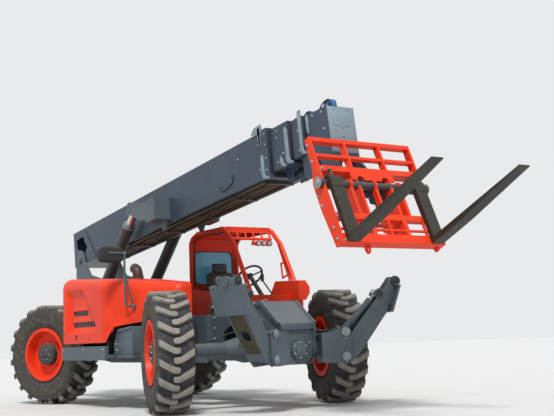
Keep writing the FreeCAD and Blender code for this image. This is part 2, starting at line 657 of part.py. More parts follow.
def make_left_tank():
    """Fuel and oil tank under the cab with two steps."""
    rail, top = RAIL_Y + SEAT, CAB_FLOOR_Z - SEAT
    rear, front = -AXLE_X + 870, AXLE_X - 1730
    outline = [(rail, 560), (rail, top), (1130, top), (1180, 900), (1180, 620), (1120, 560)]
    step_rear, step_front = front - 5, front + 540
    pieces = [cross_plate(outline, (rear, front))]
    for z in (560, 760):
        pieces.append(box((step_rear, step_front), (820, 1200), (z, z + 30)))
    for x in (step_rear, step_front - 30):
        pieces.append(box((x, x + 30), (820, 1200), (560, top)))
    pieces.append(box((step_rear, step_front), (rail, 840), (600, top)))
    return join(pieces)


def make_cab_base():
    """Orange lower cab: floor, kick panels and the cowl box at the front left."""
    inner, outer = CAB_INNER_Y, CAB_OUTER_Y
    wall = 25
    rear, front = CAB_REAR_X, CAB_FOOT_X + 40
    floor, sill_z = CAB_FLOOR_Z, CAB_SILL_Z
    pieces = [box((rear, front), (inner, outer), (floor, floor + wall))]
    inner_side = [(rear, floor), (rear, sill_z), (rear + 60, sill_z), (CAB_FOOT_X - 350, CAB_FOOT_Z + 30),
                  (CAB_FOOT_X - 60, CAB_FOOT_Z), (front, CAB_FOOT_Z), (front, floor)]
    pieces.append(side_plate(inner_side, (inner, inner + wall)))
    pieces.append(box((rear, rear + wall), (inner, outer), (floor, sill_z)))
    pieces.append(box((front - wall, front), (inner, outer), (floor, CAB_FOOT_Z)))
    pieces.append(box((CAB_FOOT_X - 60, front), (inner, outer), (CAB_FOOT_Z - wall, CAB_FOOT_Z)))
    sill = [(rear, floor), (rear, sill_z), (rear + 60, sill_z), (rear + 320, floor + 220), (rear + 420, floor + 30),
            (rear + 420, floor)]
    pieces.append(side_plate(sill, (outer - wall, outer)))
    # Cowl box outside the front post, its far top edge chamfered
    cowl = [(CAB_FOOT_X - 520, COWL_TOP - 240), (CAB_FOOT_X - 345, COWL_TOP), (CAB_FOOT_X + 180, COWL_TOP - 20),
            (CAB_FOOT_X + 185, COWL_TOP - 265), (CAB_FOOT_X, COWL_TOP - 265)]
    section = [(COWL_INNER_Y, COWL_TOP - 270), (COWL_INNER_Y, COWL_TOP), (outer - 70, COWL_TOP),
               (outer + 5, COWL_TOP - 100), (outer + 5, COWL_TOP - 180), (outer - 60, COWL_TOP - 270)]
    block = side_plate(cowl, (COWL_INNER_Y, outer + 5))
    pieces.append(block.common(cross_plate(section, (CAB_FOOT_X - 600, CAB_FOOT_X + 300))))
    return join(pieces)


def post_point(z):
    """Return the X of the front posts' straight lower run at a height."""
    return CAB_FOOT_X - (z - CAB_FOOT_Z) * (CAB_FOOT_X - CAB_KNEE_X) / (CAB_KNEE_Z - CAB_FOOT_Z)


def make_cab_frame():
    """Tube frame of the open cab with its doubled front post, grab handle and lamp bar."""
    inner, outer = CAB_INNER_Y + TUBE_RADIUS, CAB_OUTER_Y - TUBE_RADIUS
    r = TUBE_RADIUS
    rear = CAB_REAR_X + r
    top = CAB_ROOF_Z - r
    pieces = []
    for y, foot_z in ((inner, CAB_FOOT_Z), (outer, COWL_TOP)):
        points = [(rear, y, CAB_SILL_Z + SEAT), (rear, y, top - 105), (rear + 55, y, top - 40), (rear + 165, y, top),
                  (CAB_TOP_FRONT_X - 60, y, top), (CAB_TOP_FRONT_X, y, top - 15),
                  (CAB_KNEE_X, y, CAB_KNEE_Z), (post_point(foot_z - 40), y, foot_z - 40)]
        pieces.append(bent_pipe(points, r))
    for x in (rear + 165, CAB_TOP_FRONT_X - 40):
        pieces.append(rod((x, inner, top), (x, outer, top), r))
    # Second, thinner tube inside the outer front post, and its short ties
    thin, gap = 16, 75
    upper = (CAB_KNEE_X - gap, outer, CAB_KNEE_Z + 60)
    lower = (post_point(COWL_TOP) - gap, outer, COWL_TOP - 30)
    pieces.append(bent_pipe([(CAB_TOP_FRONT_X - 20, outer, top - 20), upper, lower], thin))
    # Grab handle behind that tube
    x, z = post_point(CAB_KNEE_Z - 240) - gap, CAB_KNEE_Z - 240
    pieces.append(bent_pipe([(x, outer, z), (x - 70, outer, z - 10), (x - 40, outer, z - 200), (x + 75, outer, z - 165)], 12))
    feet = [box((CAB_FOOT_X - 200, CAB_FOOT_X + 200), (inner - 60, inner + 60), (CAB_FOOT_Z - 200, CAB_FOOT_Z + SEAT)),
            box((CAB_FOOT_X - 400, CAB_FOOT_X + 200), (outer - 80, outer + 80), (COWL_TOP - 200, COWL_TOP + SEAT))]
    return cut(join(pieces), feet)


def make_cab_roof():
    """Roof plate, its slotted front band and the lamp bar under it."""
    inner, outer = CAB_INNER_Y + 2 * TUBE_RADIUS, CAB_OUTER_Y - 2 * TUBE_RADIUS
    front = CAB_TOP_FRONT_X - 40
    band_top, band_bottom = CAB_ROOF_Z - 2 * TUBE_RADIUS - SEAT, CAB_ROOF_Z - 155
    roof = box((CAB_REAR_X + 200, front), (CAB_INNER_Y + 12, CAB_OUTER_Y - 12), (CAB_ROOF_Z + SEAT, CAB_ROOF_Z + 8))
    # Flange down past the front tube, then the band that leans forward
    turn_down = [(front - 1, CAB_ROOF_Z + 8), (front - 1, CAB_ROOF_Z + SEAT), (front + TUBE_RADIUS + SEAT, CAB_ROOF_Z + SEAT),
                 (front + TUBE_RADIUS + SEAT, band_top), (front + 75, band_bottom), (front + 85, band_bottom),
                 (front + TUBE_RADIUS + 10, band_top + 5), (front + TUBE_RADIUS + 10, CAB_ROOF_Z + 8)]
    band = side_plate(turn_down, (inner + 6, outer - 6))
    width = (outer - inner - 40) / ROOF_SLOTS
    slots = []
    for i in range(ROOF_SLOTS):
        y = inner + 20 + width * (i + 0.5)
        slots.append(box((front + 10, front + 100), (y - 0.4 * width, y + 0.4 * width), (band_bottom + 25, band_top - 5)))
    hem = rod((front + 82, inner + 6, band_bottom), (front + 82, outer - 6, band_bottom), 14)
    solid = join([roof, cut(band, slots), hem])
    # Lamp bar with three lamps
    pieces = [solid, box((front + 60, front + 84), (outer - 290, outer - 275), (band_bottom - 50, band_bottom + 4)),
              box((front + 60, front + 84), (outer - 65, outer - 50), (band_bottom - 50, band_bottom + 4)),
              box((front + 50, front + 95), (outer - 300, outer - 40), (band_bottom - 75, band_bottom - 35))]
    for y in (outer - 255, outer - 170, outer - 85):
        pieces.append(rod((front + 94, y, band_bottom - 55), (front + 120, y, band_bottom - 55), 32))
    return join(pieces)


def make_cab_rear_panel():
    """Rear wall of the cab round its window, its top leaning forward under the roof."""
    side = 2 * TUBE_RADIUS + SEAT
    rear, top = CAB_REAR_X, CAB_ROOF_Z - TUBE_RADIUS
    outline = [(rear + 15, CAB_SILL_Z + SEAT), (rear + 15, top - 105), (rear + 75, top - 34), (rear + 155, top - 8),
               (rear + 158, top - 22), (rear + 88, top - 48), (rear + 35, top - 112), (rear + 35, CAB_SILL_Z + SEAT)]
    panel = side_plate(outline, (CAB_INNER_Y + side, CAB_OUTER_Y - side))
    return cut(panel, [box((rear, rear + 60), REAR_WINDOW_Y, REAR_WINDOW_Z)])


def make_cab_rear_window():
    """Rear window glass."""
    y_range = (REAR_WINDOW_Y[0] + SEAT, REAR_WINDOW_Y[1] - SEAT)
    return box((CAB_REAR_X + 20, CAB_REAR_X + 28), y_range, (REAR_WINDOW_Z[0] + SEAT, REAR_WINDOW_Z[1] - SEAT))


def make_seat():
    """Operator's seat on its base."""
    y0, y1 = SEAT_MIDDLE_Y - 225, SEAT_MIDDLE_Y + 225
    x, floor = CAB_REAR_X + 230, CAB_FLOOR_Z + 25 + SEAT
    pieces = [box((x + 30, x + 500), (y0, y1), (floor + 190, floor + 290)),
              box((x + 90, x + 420), (y0 + 60, y1 - 60), (floor, floor + 191))]
    back = [(x + 30, floor + 260), (x - 30, floor + 640), (x + 20, floor + 680), (x + 80, floor + 660),
            (x + 140, floor + 280)]
    head = [(x - 30, floor + 650), (x - 40, floor + 760), (x - 10, floor + 790), (x + 30, floor + 780), (x + 40, floor + 650)]
    pieces += [side_plate(back, (y0 + 20, y1 - 20)), side_plate(head, (y0 + 120, y1 - 120))]
    for y in (y0 - 55, y1 + 10):
        pieces.append(box((x + 20, x + 300), (y, y + 45), (floor + 430, floor + 465)))
        pieces.append(box((x + 20, x + 60), (min(y, y1 - 21), max(y + 45, y0 + 21)), (floor + 435, floor + 460)))
    return join(pieces)


def make_dash():
    """Dash, steering column, steering wheel and joystick."""
    floor = CAB_FLOOR_Z + 25 + SEAT
    x, y, z = STEERING_WHEEL
    low_y, high_y = y - 95, y + 55
    front = CAB_FOOT_X + 15 - SEAT
    top = CAB_FOOT_Z - 25 - SEAT
    column = [(front - 190, floor), (front - 250, top - 10), (front - 75, top - 10), (front, top - 70), (front, floor)]
    pieces = [side_plate(column, (low_y, high_y))]
    axis = Vector(-math.sin(STEERING_LEAN), 0, math.cos(STEERING_LEAN))
    centre = Vector(x, y, z)
    pieces.append(Part.makeTorus(STEERING_RADIUS, 14, centre, axis))
    foot = centre - axis * (z - top + 60) * (1 / axis.z)
    pieces.append(rod(tuple(centre), tuple(foot), 28))
    pieces.append(rod(tuple(centre - axis * 8), tuple(centre + axis * 14), 42))
    for angle in (90, 210, 330):
        spoke = rod((x, y, z), (x, y + STEERING_RADIUS, z), 10)
        pieces.append(turned(spoke, (x, y, z), tuple(axis), angle))
    # Joystick on a bracket of the column
    stick_x, stick_y = x + 90, y + 130
    pieces.append(box((foot.x - 20, foot.x + 60), (high_y - 60, stick_y + 20), (top - 60, top - 20)))
    pieces.append(rod((foot.x + 20, stick_y, top - 21), (stick_x, stick_y, z - 60), 10))
    pieces.append(rod((stick_x, stick_y, z - 75), (stick_x + 5, stick_y, z + 20), 22))
    return join(pieces)


# Boom


def section_box(along, step, inset):
    """Return the level block of boom section number step, shrunk all round by inset."""
    half = BOOM_HALF_WIDTH - SECTION_SIDE_STEP * step - inset
    bottom = BOOM_BOTTOM + SECTION_BOTTOM_STEP * step + inset
    top = BOOM_TOP - SECTION_TOP_STEP * step - inset
    return box(along, (-half, half), (bottom, top))


def section_cavity(along, step):
    """Return the cutters for a section's inside: a wide bore, then a mouth that fits the next section."""
    mouth = along[1] - GUIDE_LENGTH
    return [section_box((along[0], mouth), step, SECTION_WALL),
            section_box((mouth - 1, along[1] + 10), step + 1, -GUIDE_GAP)]


def sheave(along, above, radius):
    """Return a grooved hose sheave between two ear plates, its foot on the surface below it."""
    half = 26
    profile = [(-half, 0), (-half, radius), (-half + 8, radius), (-6, radius - 12), (6, radius - 12), (half - 8, radius),
               (half, radius), (half, 0)]
    points = [Vector(along, y, above + r) for y, r in profile + profile[:1]]
    wheel = Part.Face(Part.makePolygon(points)).revolve(Vector(along, 0, above), Vector(0, 1, 0), 360)
    ear = [(along - 0.8 * radius, above - 0.9 * radius), (along - 24, above + 24), (along + 24, above + 24),
           (along + 0.8 * radius, above - 0.9 * radius)]
    pieces = [wheel, pin(along, above, 14, (-half - 18, half + 18))]
    for low in (-half - 14, half + 2):
        pieces.append(side_plate(ear, (low, low + 12)))
    return pieces


def section_fittings(step):
    """Return the straps and sheaves that section number step carries near its front."""
    half = BOOM_HALF_WIDTH - SECTION_SIDE_STEP * step
    bottom = BOOM_BOTTOM + SECTION_BOTTOM_STEP * step
    top = BOOM_TOP - SECTION_TOP_STEP * step
    pieces = []
    for strap in STRAPS:
        if strap["section"] != step:
            continue
        low = bottom + strap["low"]
        high = top + strap["high"]
        along = (strap["along"] - strap["width"] / 2, strap["along"] + strap["width"] / 2)
        for side in (-1, 1):
            y_range = sorted((side * (half - 1), side * (half + strap["thickness"])))
            pieces.append(box(along, y_range, (low, high)))
    for place in SHEAVES:
        if place["section"] == step:
            pieces += sheave(place["along"], top + 0.75 * place["radius"], place["radius"])
    return pieces


def make_boom():
    """Outer boom section with its pivot cheeks, rear openings, ribs and front collar."""
    pieces = [section_box((BOOM_REAR, BOOM_FRONT), 0, 0)] + section_fittings(0)
    cheek = [(-240, -45), (-240, 300), (236, 300), (495, BOOM_BOTTOM + 16), (490, -45)]
    rib = [(128, 425), (158, 425), (512, BOOM_BOTTOM + 16), (482, BOOM_BOTTOM + 16)]
    for side in (-1, 1):
        for outline, depth in ((cheek, CHEEK_DEPTH), (rib, CHEEK_DEPTH + 5)):
            y_range = sorted((side * (BOOM_HALF_WIDTH - 1), side * (BOOM_HALF_WIDTH + depth)))
            pieces.append(side_plate(outline, y_range))
        pieces.append(pin(0, 0, 140, sorted((side * (BOOM_HALF_WIDTH - 1), side * (BOOM_HALF_WIDTH + CHEEK_DEPTH)))))
    collar = BOOM_HALF_WIDTH + 14
    pieces.append(box((BOOM_FRONT - 90, BOOM_FRONT), (-collar, collar), (BOOM_BOTTOM - 14, BOOM_TOP + 14)))
    solid = cut(join(pieces), section_cavity((BOOM_REAR + 20, BOOM_FRONT), 0))
    opening = side_plate([(-205, 345), (55, 359), (220, 167), (134, 95), (-160, 197)], (-400, 400))
    return raised(cut(solid, [pin(0, 0, PIVOT_PIN_RADIUS + 0.5, (-400, 400)), opening]))


def make_boom_ear(side):
    """Bracket on the boom's side that holds a lift cylinder's rod eye."""
    eye_x, eye_z = boom_local(*LIFT_EYE)
    box_rear, box_front = eye_x + 460, eye_x + 720
    plate = [(eye_x - 85, eye_z - 60), (eye_x - 75, eye_z + 60), (eye_x - 10, eye_z + 95), (box_rear, 262),
             (box_rear, 40), (eye_x + 300, 60), (eye_x + 60, eye_z - 95)]
    gusset = [(box_rear + 20, 0), (box_front - 20, 0), (box_rear + 150, -120), (box_rear + 115, -120)]
    wall = BOOM_HALF_WIDTH + SEAT
    inner = sorted((side * wall, side * (LIFT_Y - EAR_GAP)))
    outer = sorted((side * (LIFT_Y + EAR_GAP), side * (LIFT_Y + EAR_GAP + 12)))
    across = sorted((side * wall, side * (LIFT_Y + EAR_GAP + 12)))
    pieces = [side_plate(plate, inner), side_plate(plate, outer), box((box_rear - 1, box_front), across, (-5, 275)),
              side_plate(gusset, inner), pin(eye_x, eye_z, 48, sorted((side * (LIFT_Y + EAR_GAP), side * (LIFT_Y + EAR_GAP + 14))))]
    return raised(join(pieces))


def make_section(step):
    """Inner boom section number step, an open tube with its straps, sheaves and lugs."""
    along = (SECTION_REARS[step - 1], SECTION_FRONTS[step - 1])
    pieces = [section_box(along, step, 0)] + section_fittings(step)
    if step == 1:
        # Hose tube under the section, held by two lug plates
        bottom = BOOM_BOTTOM + SECTION_BOTTOM_STEP
        low = bottom - 70
        lug = [(BOOM_FRONT + 40, bottom + 2), (BOOM_FRONT + 230, bottom + 2), (BOOM_FRONT + 170, low - 40),
               (BOOM_FRONT + 100, low - 40)]
        for y in (-90, 74):
            pieces.append(side_plate(lug, (y, y + 16)))
        pieces.append(rod((BOOM_FRONT + 20, 0, low), (BOOM_FRONT + 300, 0, low), 45))
        pieces.append(pin(BOOM_FRONT + 135, low, 30, (-98, 98)))
    shell = join(pieces)
    if step < 3:
        cavity = section_cavity((along[0] - 10, along[1]), step)
    else:
        cavity = [section_box((along[0] - 10, along[1] + 10), step, SECTION_WALL)]
    return raised(cut(shell, cavity))


def make_boom_nose():
    """Closed nose on the innermost section that carries the carriage and its cylinder."""
    half = BOOM_HALF_WIDTH - 3 * SECTION_SIDE_STEP
    top = BOOM_TOP - 3 * SECTION_TOP_STEP
    front = SECTION_FRONTS[2]
    pivot_x, pivot_z = carriage_point(CARRIAGE_PIVOT_V, CARRIAGE_PIVOT_W)
    along_pivot, above_pivot = boom_local(pivot_x, pivot_z)
    base_along, base_above = boom_local(*TILT_BASE)
    floor = BOOM_BOTTOM + 3 * SECTION_BOTTOM_STEP
    # Ahead of the next section's mouth the side plates rise to this section, behind it they stay below
    step_along, step_above = SECTION_FRONTS[1] + 22, BOOM_BOTTOM + 2 * SECTION_BOTTOM_STEP - 20
    outline = [(step_along, floor - SEAT), (step_along, step_above), (base_along - 90, step_above),
               (base_along - 90, base_above - 30), (base_along - 30, base_above - 75),
               (base_along + 40, base_above - 70), (front - 220, -40), (along_pivot - 130, above_pivot + 40),
               (along_pivot - 95, above_pivot - 70), (along_pivot, above_pivot - 105),
               (along_pivot + 90, above_pivot - 60), (along_pivot + 105, above_pivot + 30),
               (front + 42, -120), (front + 20, top), (front + SEAT, top), (front + SEAT, floor - SEAT)]
    pieces = []
    for side in (-1, 1):
        pieces.append(side_plate(outline, sorted((side * (half - 35), side * half))))
    pieces.append(side_plate([(front + SEAT, top), (front + 20, top), (front + 42, -120), (front + 20, -130),
                              (front + SEAT, -130)], (-half, half)))
    pieces.append(pin(along_pivot, above_pivot, 42, (-half - 65, half + 65)))
    pieces.append(pin(base_along, base_above, 30, (-half, half)))
    return raised(join(pieces))


# Carriage and forks


def make_carriage():
    """Orange fork carriage: side plates, upper grille, shaft supports, windows and the pivot plates."""
    half = CARRIAGE_HALF_WIDTH
    height = CARRIAGE_HEIGHT
    pieces = []
    side = [(-110, 0), (-150, 420), (-150, 700), (-95, 820), (-70, height), (0, height), (0, 0)]
    for low in (-half, half - 25):
        pieces.append(side_plate(side, (low, low + 25)))
    inner = half - 24
    bars = ((height - 45, 45, 60), (930, 30, 50), (0, 90, 100), (250, 60, 60), (130, 20, 20), (770, 60, 100))
    for w, thickness, depth in bars:
        pieces.append(box((-depth, 0), (-inner, inner), (w, w + thickness)))
    for y in (-210, 210):
        pieces.append(box((-70, 0), (y - 12, y + 12), (770, height - 10)))
    for y in (-430, -215, 0, 215, 430):
        pieces.append(box((-20, 0), (y - 10, y + 10), (89, 251)))
    # Notched plate over the shaft, and the plates that carry the shaft
    pieces.append(box((-20, 0), (-260, 260), (SHAFT_W + SHAFT_RADIUS + 9, 772)))
    support = [(-110, 309), (0, 309), (0, SHAFT_W), (SHAFT_V - 40, SHAFT_W), (-110, 420)]
    for y in (-300, 300):
        pieces += [side_plate(support, (y - 16, y + 16)), pin(SHAFT_V, SHAFT_W, SHAFT_RADIUS + 16, (y - 16, y + 16))]
    pieces += [box((-60, 0), (-15, 15), (309, 771)), pin(SHAFT_V, SHAFT_W, SHAFT_RADIUS + 12, (-15, 15))]
    # Pivot plates behind the frame, outside the boom's nose
    back = [(-70, 20), (TILT_EYE_V - 60, TILT_EYE_W - 30), (CARRIAGE_PIVOT_V - 95, CARRIAGE_PIVOT_W + 20),
            (CARRIAGE_PIVOT_V - 40, CARRIAGE_PIVOT_W + 95), (-60, 820), (0, 820), (0, 20)]
    nose_half = BOOM_HALF_WIDTH - 3 * SECTION_SIDE_STEP
    for side_sign in (-1, 1):
        y_range = sorted((side_sign * (nose_half + 10), side_sign * (nose_half + 40)))
        pieces.append(side_plate(back, y_range))
        pieces.append(pin(TILT_EYE_V, TILT_EYE_W, 42, sorted((side_sign * (nose_half + 20), side_sign * (nose_half + 60)))))
    # Lifting lugs under the lower bar
    for y, drop in ((-LIFTING_LUG_Y, 66), (LIFTING_LUG_Y + 281, 30)):
        lug = [(-120, 10), (-50, 10), (-50, 40 - drop), (-66, -drop), (-106, -drop), (-120, 40 - drop)]
        pieces.append(side_plate(lug, (y - 10, y + 10)))
    cutters = [pin(CARRIAGE_PIVOT_V, CARRIAGE_PIVOT_W, 43, (-400, 400)),
               pin(SHAFT_V, SHAFT_W, SHAFT_RADIUS, (-800, 800)),
               pin(LIFTING_HOLE[0], LIFTING_HOLE[1], LIFTING_HOLE_RADIUS, (-LIFTING_LUG_Y - 11, -LIFTING_LUG_Y + 11))]
    cutters += [rod((-30, y, 690), (10, y, 690), 45) for y in (-150, 150)]
    return leaned(cut(join(pieces), cutters))


def make_fork_shaft():
    """Round shaft that the forks hang on, with capped ends."""
    half = CARRIAGE_HALF_WIDTH
    pieces = [pin(SHAFT_V, SHAFT_W, SHAFT_RADIUS, (-half - 30, half + 30))]
    for low in (-half - 40, half + 1):
        pieces.append(pin(SHAFT_V, SHAFT_W, 52, (low, low + 39)))
    return leaned(join(pieces))


def make_fork(side):
    """Fork with its eye on the shaft, shank and tapered blade."""
    y = side * FORK_Y
    outline = [(4, SHAFT_W - 60), (4, 20), (20, -4), (FORK_LENGTH * 0.35, -4), (FORK_LENGTH, FORK_TIP_W),
               (FORK_LENGTH, 44), (FORK_THICKNESS + 4, FORK_THICKNESS), (FORK_THICKNESS + 4, SHAFT_W - 60)]
    pieces = [side_plate(outline, (y - FORK_WIDTH / 2, y + FORK_WIDTH / 2))]
    hook = [(SHAFT_V - 60, SHAFT_W - 30), (SHAFT_V - 60, SHAFT_W + 35), (SHAFT_V - 20, SHAFT_W + 62),
            (20, SHAFT_W + 62), (FORK_THICKNESS + 4, SHAFT_W + 20), (FORK_THICKNESS + 4, SHAFT_W - 80),
            (4, SHAFT_W - 80), (-20, SHAFT_W - 60)]
    pieces.append(side_plate(hook, (y - FORK_WIDTH / 2, y + FORK_WIDTH / 2)))
    solid = join(pieces)
    return leaned(cut(solid, [pin(SHAFT_V, SHAFT_W, SHAFT_RADIUS, (-900, 900))]))


# Cylinders


def make_barrel(base, eye, radius, length, y, half_eye, pin_radius, rod_radius):
    """Cylinder barrel from its base pin towards its rod's eye, in the plane at Y = y."""
    start, end = Vector(base[0], y, base[1]), Vector(eye[0], y, eye[1])
    axis = (end - start).normalize()
    pieces = [Part.makeCylinder(radius, length - radius * 0.6, start + axis * (radius * 0.6), axis)]
    pieces.append(pin(base[0], base[1], radius * 0.95, (y - half_eye, y + half_eye)))
    pieces.append(Part.makeCylinder(radius + 4, 50, start + axis * (length - 50), axis))
    solid = join(pieces)
    bore = [pin(base[0], base[1], pin_radius + 0.5, (y - 2 * radius, y + 2 * radius)),
            Part.makeCylinder(radius * 0.78, length - radius * 1.5 - 50, start + axis * (radius * 1.5), axis),
            Part.makeCylinder(rod_radius + 0.5, length, start + axis * (radius * 1.5), axis)]
    return cut(solid, bore)


def make_rod(base, eye, radius, start_along, y, half_eye, eye_radius, half_pin):
    """Cylinder rod from inside its barrel to its eye and short pin, in the plane at Y = y."""
    start, end = Vector(base[0], y, base[1]), Vector(eye[0], y, eye[1])
    axis = (end - start).normalize()
    length = (end - start).Length
    pieces = [Part.makeCylinder(radius, length - start_along - eye_radius * 0.5, start + axis * start_along, axis)]
    pieces.append(pin(eye[0], eye[1], eye_radius, (y - half_eye, y + half_eye)))
    pieces.append(pin(eye[0], eye[1], eye_radius * 0.5, (y - half_pin, y + half_pin)))
    return join(pieces)


def make_outrigger_arm():
    """Left outrigger's arm with its foot, drawn level and raised."""
    half = OUTRIGGER_HALF_WIDTH
    length = OUTRIGGER_LENGTH
    deep = OUTRIGGER_DEPTH
    taper = length - 325
    outline = [(-62, -30), (-40, -66), (60, 8 - deep), (160, -deep), (taper, -deep), (length - 10, -28),
               (length, 54), (length - 90, 54), (300, 88), (60, 66), (-30, 62), (-62, 30)]
    floor = [(60, 8 - deep), (160, -deep), (taper, -deep), (length - 60, -42), (length - 64, -28),
             (taper - 5, 14 - deep), (162, 14 - deep), (64, 20 - deep)]
    pieces = [side_plate(floor, (-half, half)), pin(length, 0, 32, (-half - 12, half + 12))]
    lug = [(OUTRIGGER_EYE_ALONG - 70, 20), (OUTRIGGER_EYE_ALONG - 35, OUTRIGGER_EYE_UP + 40),
           (OUTRIGGER_EYE_ALONG + 35, OUTRIGGER_EYE_UP + 40), (OUTRIGGER_EYE_ALONG + 90, 20)]
    for low in (-half, half - 16):
        pieces.append(side_plate(outline, (low, low + 16)))
        pieces.append(pin(length, 0, 56, (low, low + 16)))
        pieces.append(side_plate(lug, (low, low + 16)))
        pieces.append(pin(OUTRIGGER_EYE_ALONG, OUTRIGGER_EYE_UP, 30, (low - 6, low + 22)))
    long_x, wide_y = OUTRIGGER_FOOT_SIZE[0] / 2, OUTRIGGER_FOOT_SIZE[1] / 2
    # Foot plate with its bent lip, the arch that stands past its end and the round pad on the arch
    arch_x = long_x - 27
    foot = join([box((-long_x, long_x), (-wide_y, wide_y), (-22, 0)),
                 box((long_x - 16, long_x), (-wide_y, wide_y), (-1, 34)), box((-70, 70), (-half, half), (-1, 50)),
                 rod((arch_x, 0, -22), (arch_x, 0, 0), 122), rod((arch_x + 62, 0, -40), (arch_x + 62, 0, -21), 34)])
    foot = turned(foot, (0, 0, 0), (0, 1, 0), -OUTRIGGER_FOOT_ANGLE)
    foot.translate(Vector(*OUTRIGGER_FOOT_PLACE))
    pieces.append(foot)
    hole = [box((365, 395), (-50, 50), (-deep - 20, -deep + 40))]
    hole += [rod((x, 0, -deep - 20), (x, 0, -deep + 40), 50) for x in (365, 395)]
    solid = cut(join(pieces), [pin(0, 0, 28.5, (-200, 200))] + hole)
    return splayed(turned(solid, (0, 0, 0), (0, 1, 0), -OUTRIGGER_RAISED))


def make_all():
    """Return every piece by its name, in the drawing's own frame."""
    pieces = {
        "main_frame": make_main_frame(), "front_frame": make_front_frame(),
        "outrigger_bracket_left": make_outrigger_bracket(),
        "outrigger_bracket_right": mirrored(make_outrigger_bracket()),
        "front_axle": make_axle(AXLE_X, True), "rear_axle": make_axle(-AXLE_X, False),
        "rear_ballast": make_rear_ballast(), "engine_block": make_engine(), "pod_frame": make_pod_frame(),
        "side_box": make_side_box(), "hood": make_hood(), "mirror": make_mirror(), "exhaust": make_exhaust(),
        "left_tank": make_left_tank(), "cab_base": make_cab_base(), "cab_frame": make_cab_frame(),
        "cab_roof": make_cab_roof(), "cab_rear_panel": make_cab_rear_panel(),
        "cab_rear_window": make_cab_rear_window(), "seat": make_seat(), "dash": make_dash(),
        "boom": make_boom(), "boom_section_2": make_section(1), "boom_section_3": make_section(2),
        "boom_section_4": make_section(3),
        "boom_nose": make_boom_nose(), "boom_ear_left": make_boom_ear(1), "boom_ear_right": make_boom_ear(-1),
        "carriage_frame": make_carriage(), "fork_shaft": make_fork_shaft(),
        "fork_left": make_fork(1), "fork_right": make_fork(-1),
    }
    tilt_eye = carriage_point(TILT_EYE_V, TILT_EYE_W)
    pieces["tilt_barrel"] = make_barrel(TILT_BASE, tilt_eye, TILT_BARREL_RADIUS, TILT_BARREL_LENGTH, 0, 45, 30,
                                        TILT_ROD_RADIUS)
    pieces["tilt_rod"] = make_rod(TILT_BASE, tilt_eye, TILT_ROD_RADIUS, 380, 0, 45, 50, 179)
    for name, y in (("left", LIFT_Y), ("right", -LIFT_Y)):
        pieces["lift_barrel_" + name] = make_barrel(LIFT_BASE, LIFT_EYE, LIFT_BARREL_RADIUS, LIFT_BARREL_LENGTH, y,
                                                    70, 40, LIFT_ROD_RADIUS)
        pieces["lift_rod_" + name] = make_rod(LIFT_BASE, LIFT_EYE, LIFT_ROD_RADIUS, 330, y, 70, 80, EAR_GAP - 1)
    arm = make_outrigger_arm()
    eye = outrigger_eye()
    base = (0, OUTRIGGER_CYLINDER_RISE)
    barrel = splayed(make_barrel(base, eye, OUTRIGGER_BARREL_RADIUS, OUTRIGGER_BARREL_LENGTH, 0, 50, 28,
                                 OUTRIGGER_ROD_RADIUS))
    arm_rod = splayed(make_rod(base, eye, OUTRIGGER_ROD_RADIUS, 88, 0, 50, 42, 87))
    for name, shape in (("outrigger_arm", arm), ("outrigger_barrel", barrel), ("outrigger_rod", arm_rod)):
        pieces[name + "_left"] = shape
        pieces[name + "_right"] = mirrored(shape)
    tyre = tyre_blank()
    for end, x, steer in (("front", AXLE_X, STEER_FRONT), ("rear", -AXLE_X, STEER_REAR)):
        for name, side in (("left", 1), ("right", -1)):
            key = end + "_" + name
            pieces["knuckle_" + key] = make_knuckle(x, side, steer)
            pieces["rim_" + key] = make_rim(x, side, steer)
            pieces["tyre_" + key] = place_tyre(tyre, x, side, steer)
    return pieces


def origin_shift():
    """Return the move that puts the middle of the machine's length at X = 0."""
    fork_tip = carriage_point(FORK_LENGTH, FORK_TIP_W)[0]
    return Vector(-(REAR_END + fork_tip) / 2, 0, 0)


def main():
    """Build every piece and save it as a STEP file."""
    os.makedirs("parts", exist_ok=True)
    shift = origin_shift()
    for name, shape in make_all().items():
        placed = shape.copy()
        placed.translate(shift)
        placed.exportStep("parts/" + name + ".step")


if __name__ == "__main__":
    main()
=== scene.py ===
"""Looks of a rough-terrain telehandler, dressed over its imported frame."""

import json
import logging
import math
from collections.abc import Callable, Iterable, Sequence
from dataclasses import dataclass
from enum import Enum

import bmesh
import bpy
from mathutils import Matrix, Vector

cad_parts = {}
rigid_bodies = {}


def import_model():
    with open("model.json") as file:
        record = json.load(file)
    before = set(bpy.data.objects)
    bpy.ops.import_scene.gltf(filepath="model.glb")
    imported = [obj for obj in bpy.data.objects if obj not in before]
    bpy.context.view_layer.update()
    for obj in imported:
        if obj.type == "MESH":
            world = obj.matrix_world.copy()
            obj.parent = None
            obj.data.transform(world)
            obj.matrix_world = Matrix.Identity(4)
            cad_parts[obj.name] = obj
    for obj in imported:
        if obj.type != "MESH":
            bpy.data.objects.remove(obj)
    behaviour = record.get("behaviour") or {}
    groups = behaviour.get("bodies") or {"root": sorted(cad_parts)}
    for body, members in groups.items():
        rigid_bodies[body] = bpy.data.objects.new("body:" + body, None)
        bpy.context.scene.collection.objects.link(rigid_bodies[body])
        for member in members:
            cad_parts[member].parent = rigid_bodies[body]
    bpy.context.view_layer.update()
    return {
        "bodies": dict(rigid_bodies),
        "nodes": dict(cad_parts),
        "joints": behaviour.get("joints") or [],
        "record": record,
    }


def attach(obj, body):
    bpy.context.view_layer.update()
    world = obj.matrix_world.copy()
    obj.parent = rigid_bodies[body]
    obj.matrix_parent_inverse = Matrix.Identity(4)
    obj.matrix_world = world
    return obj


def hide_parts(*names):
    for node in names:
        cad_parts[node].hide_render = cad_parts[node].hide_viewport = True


LOG = logging.getLogger("telehandler")

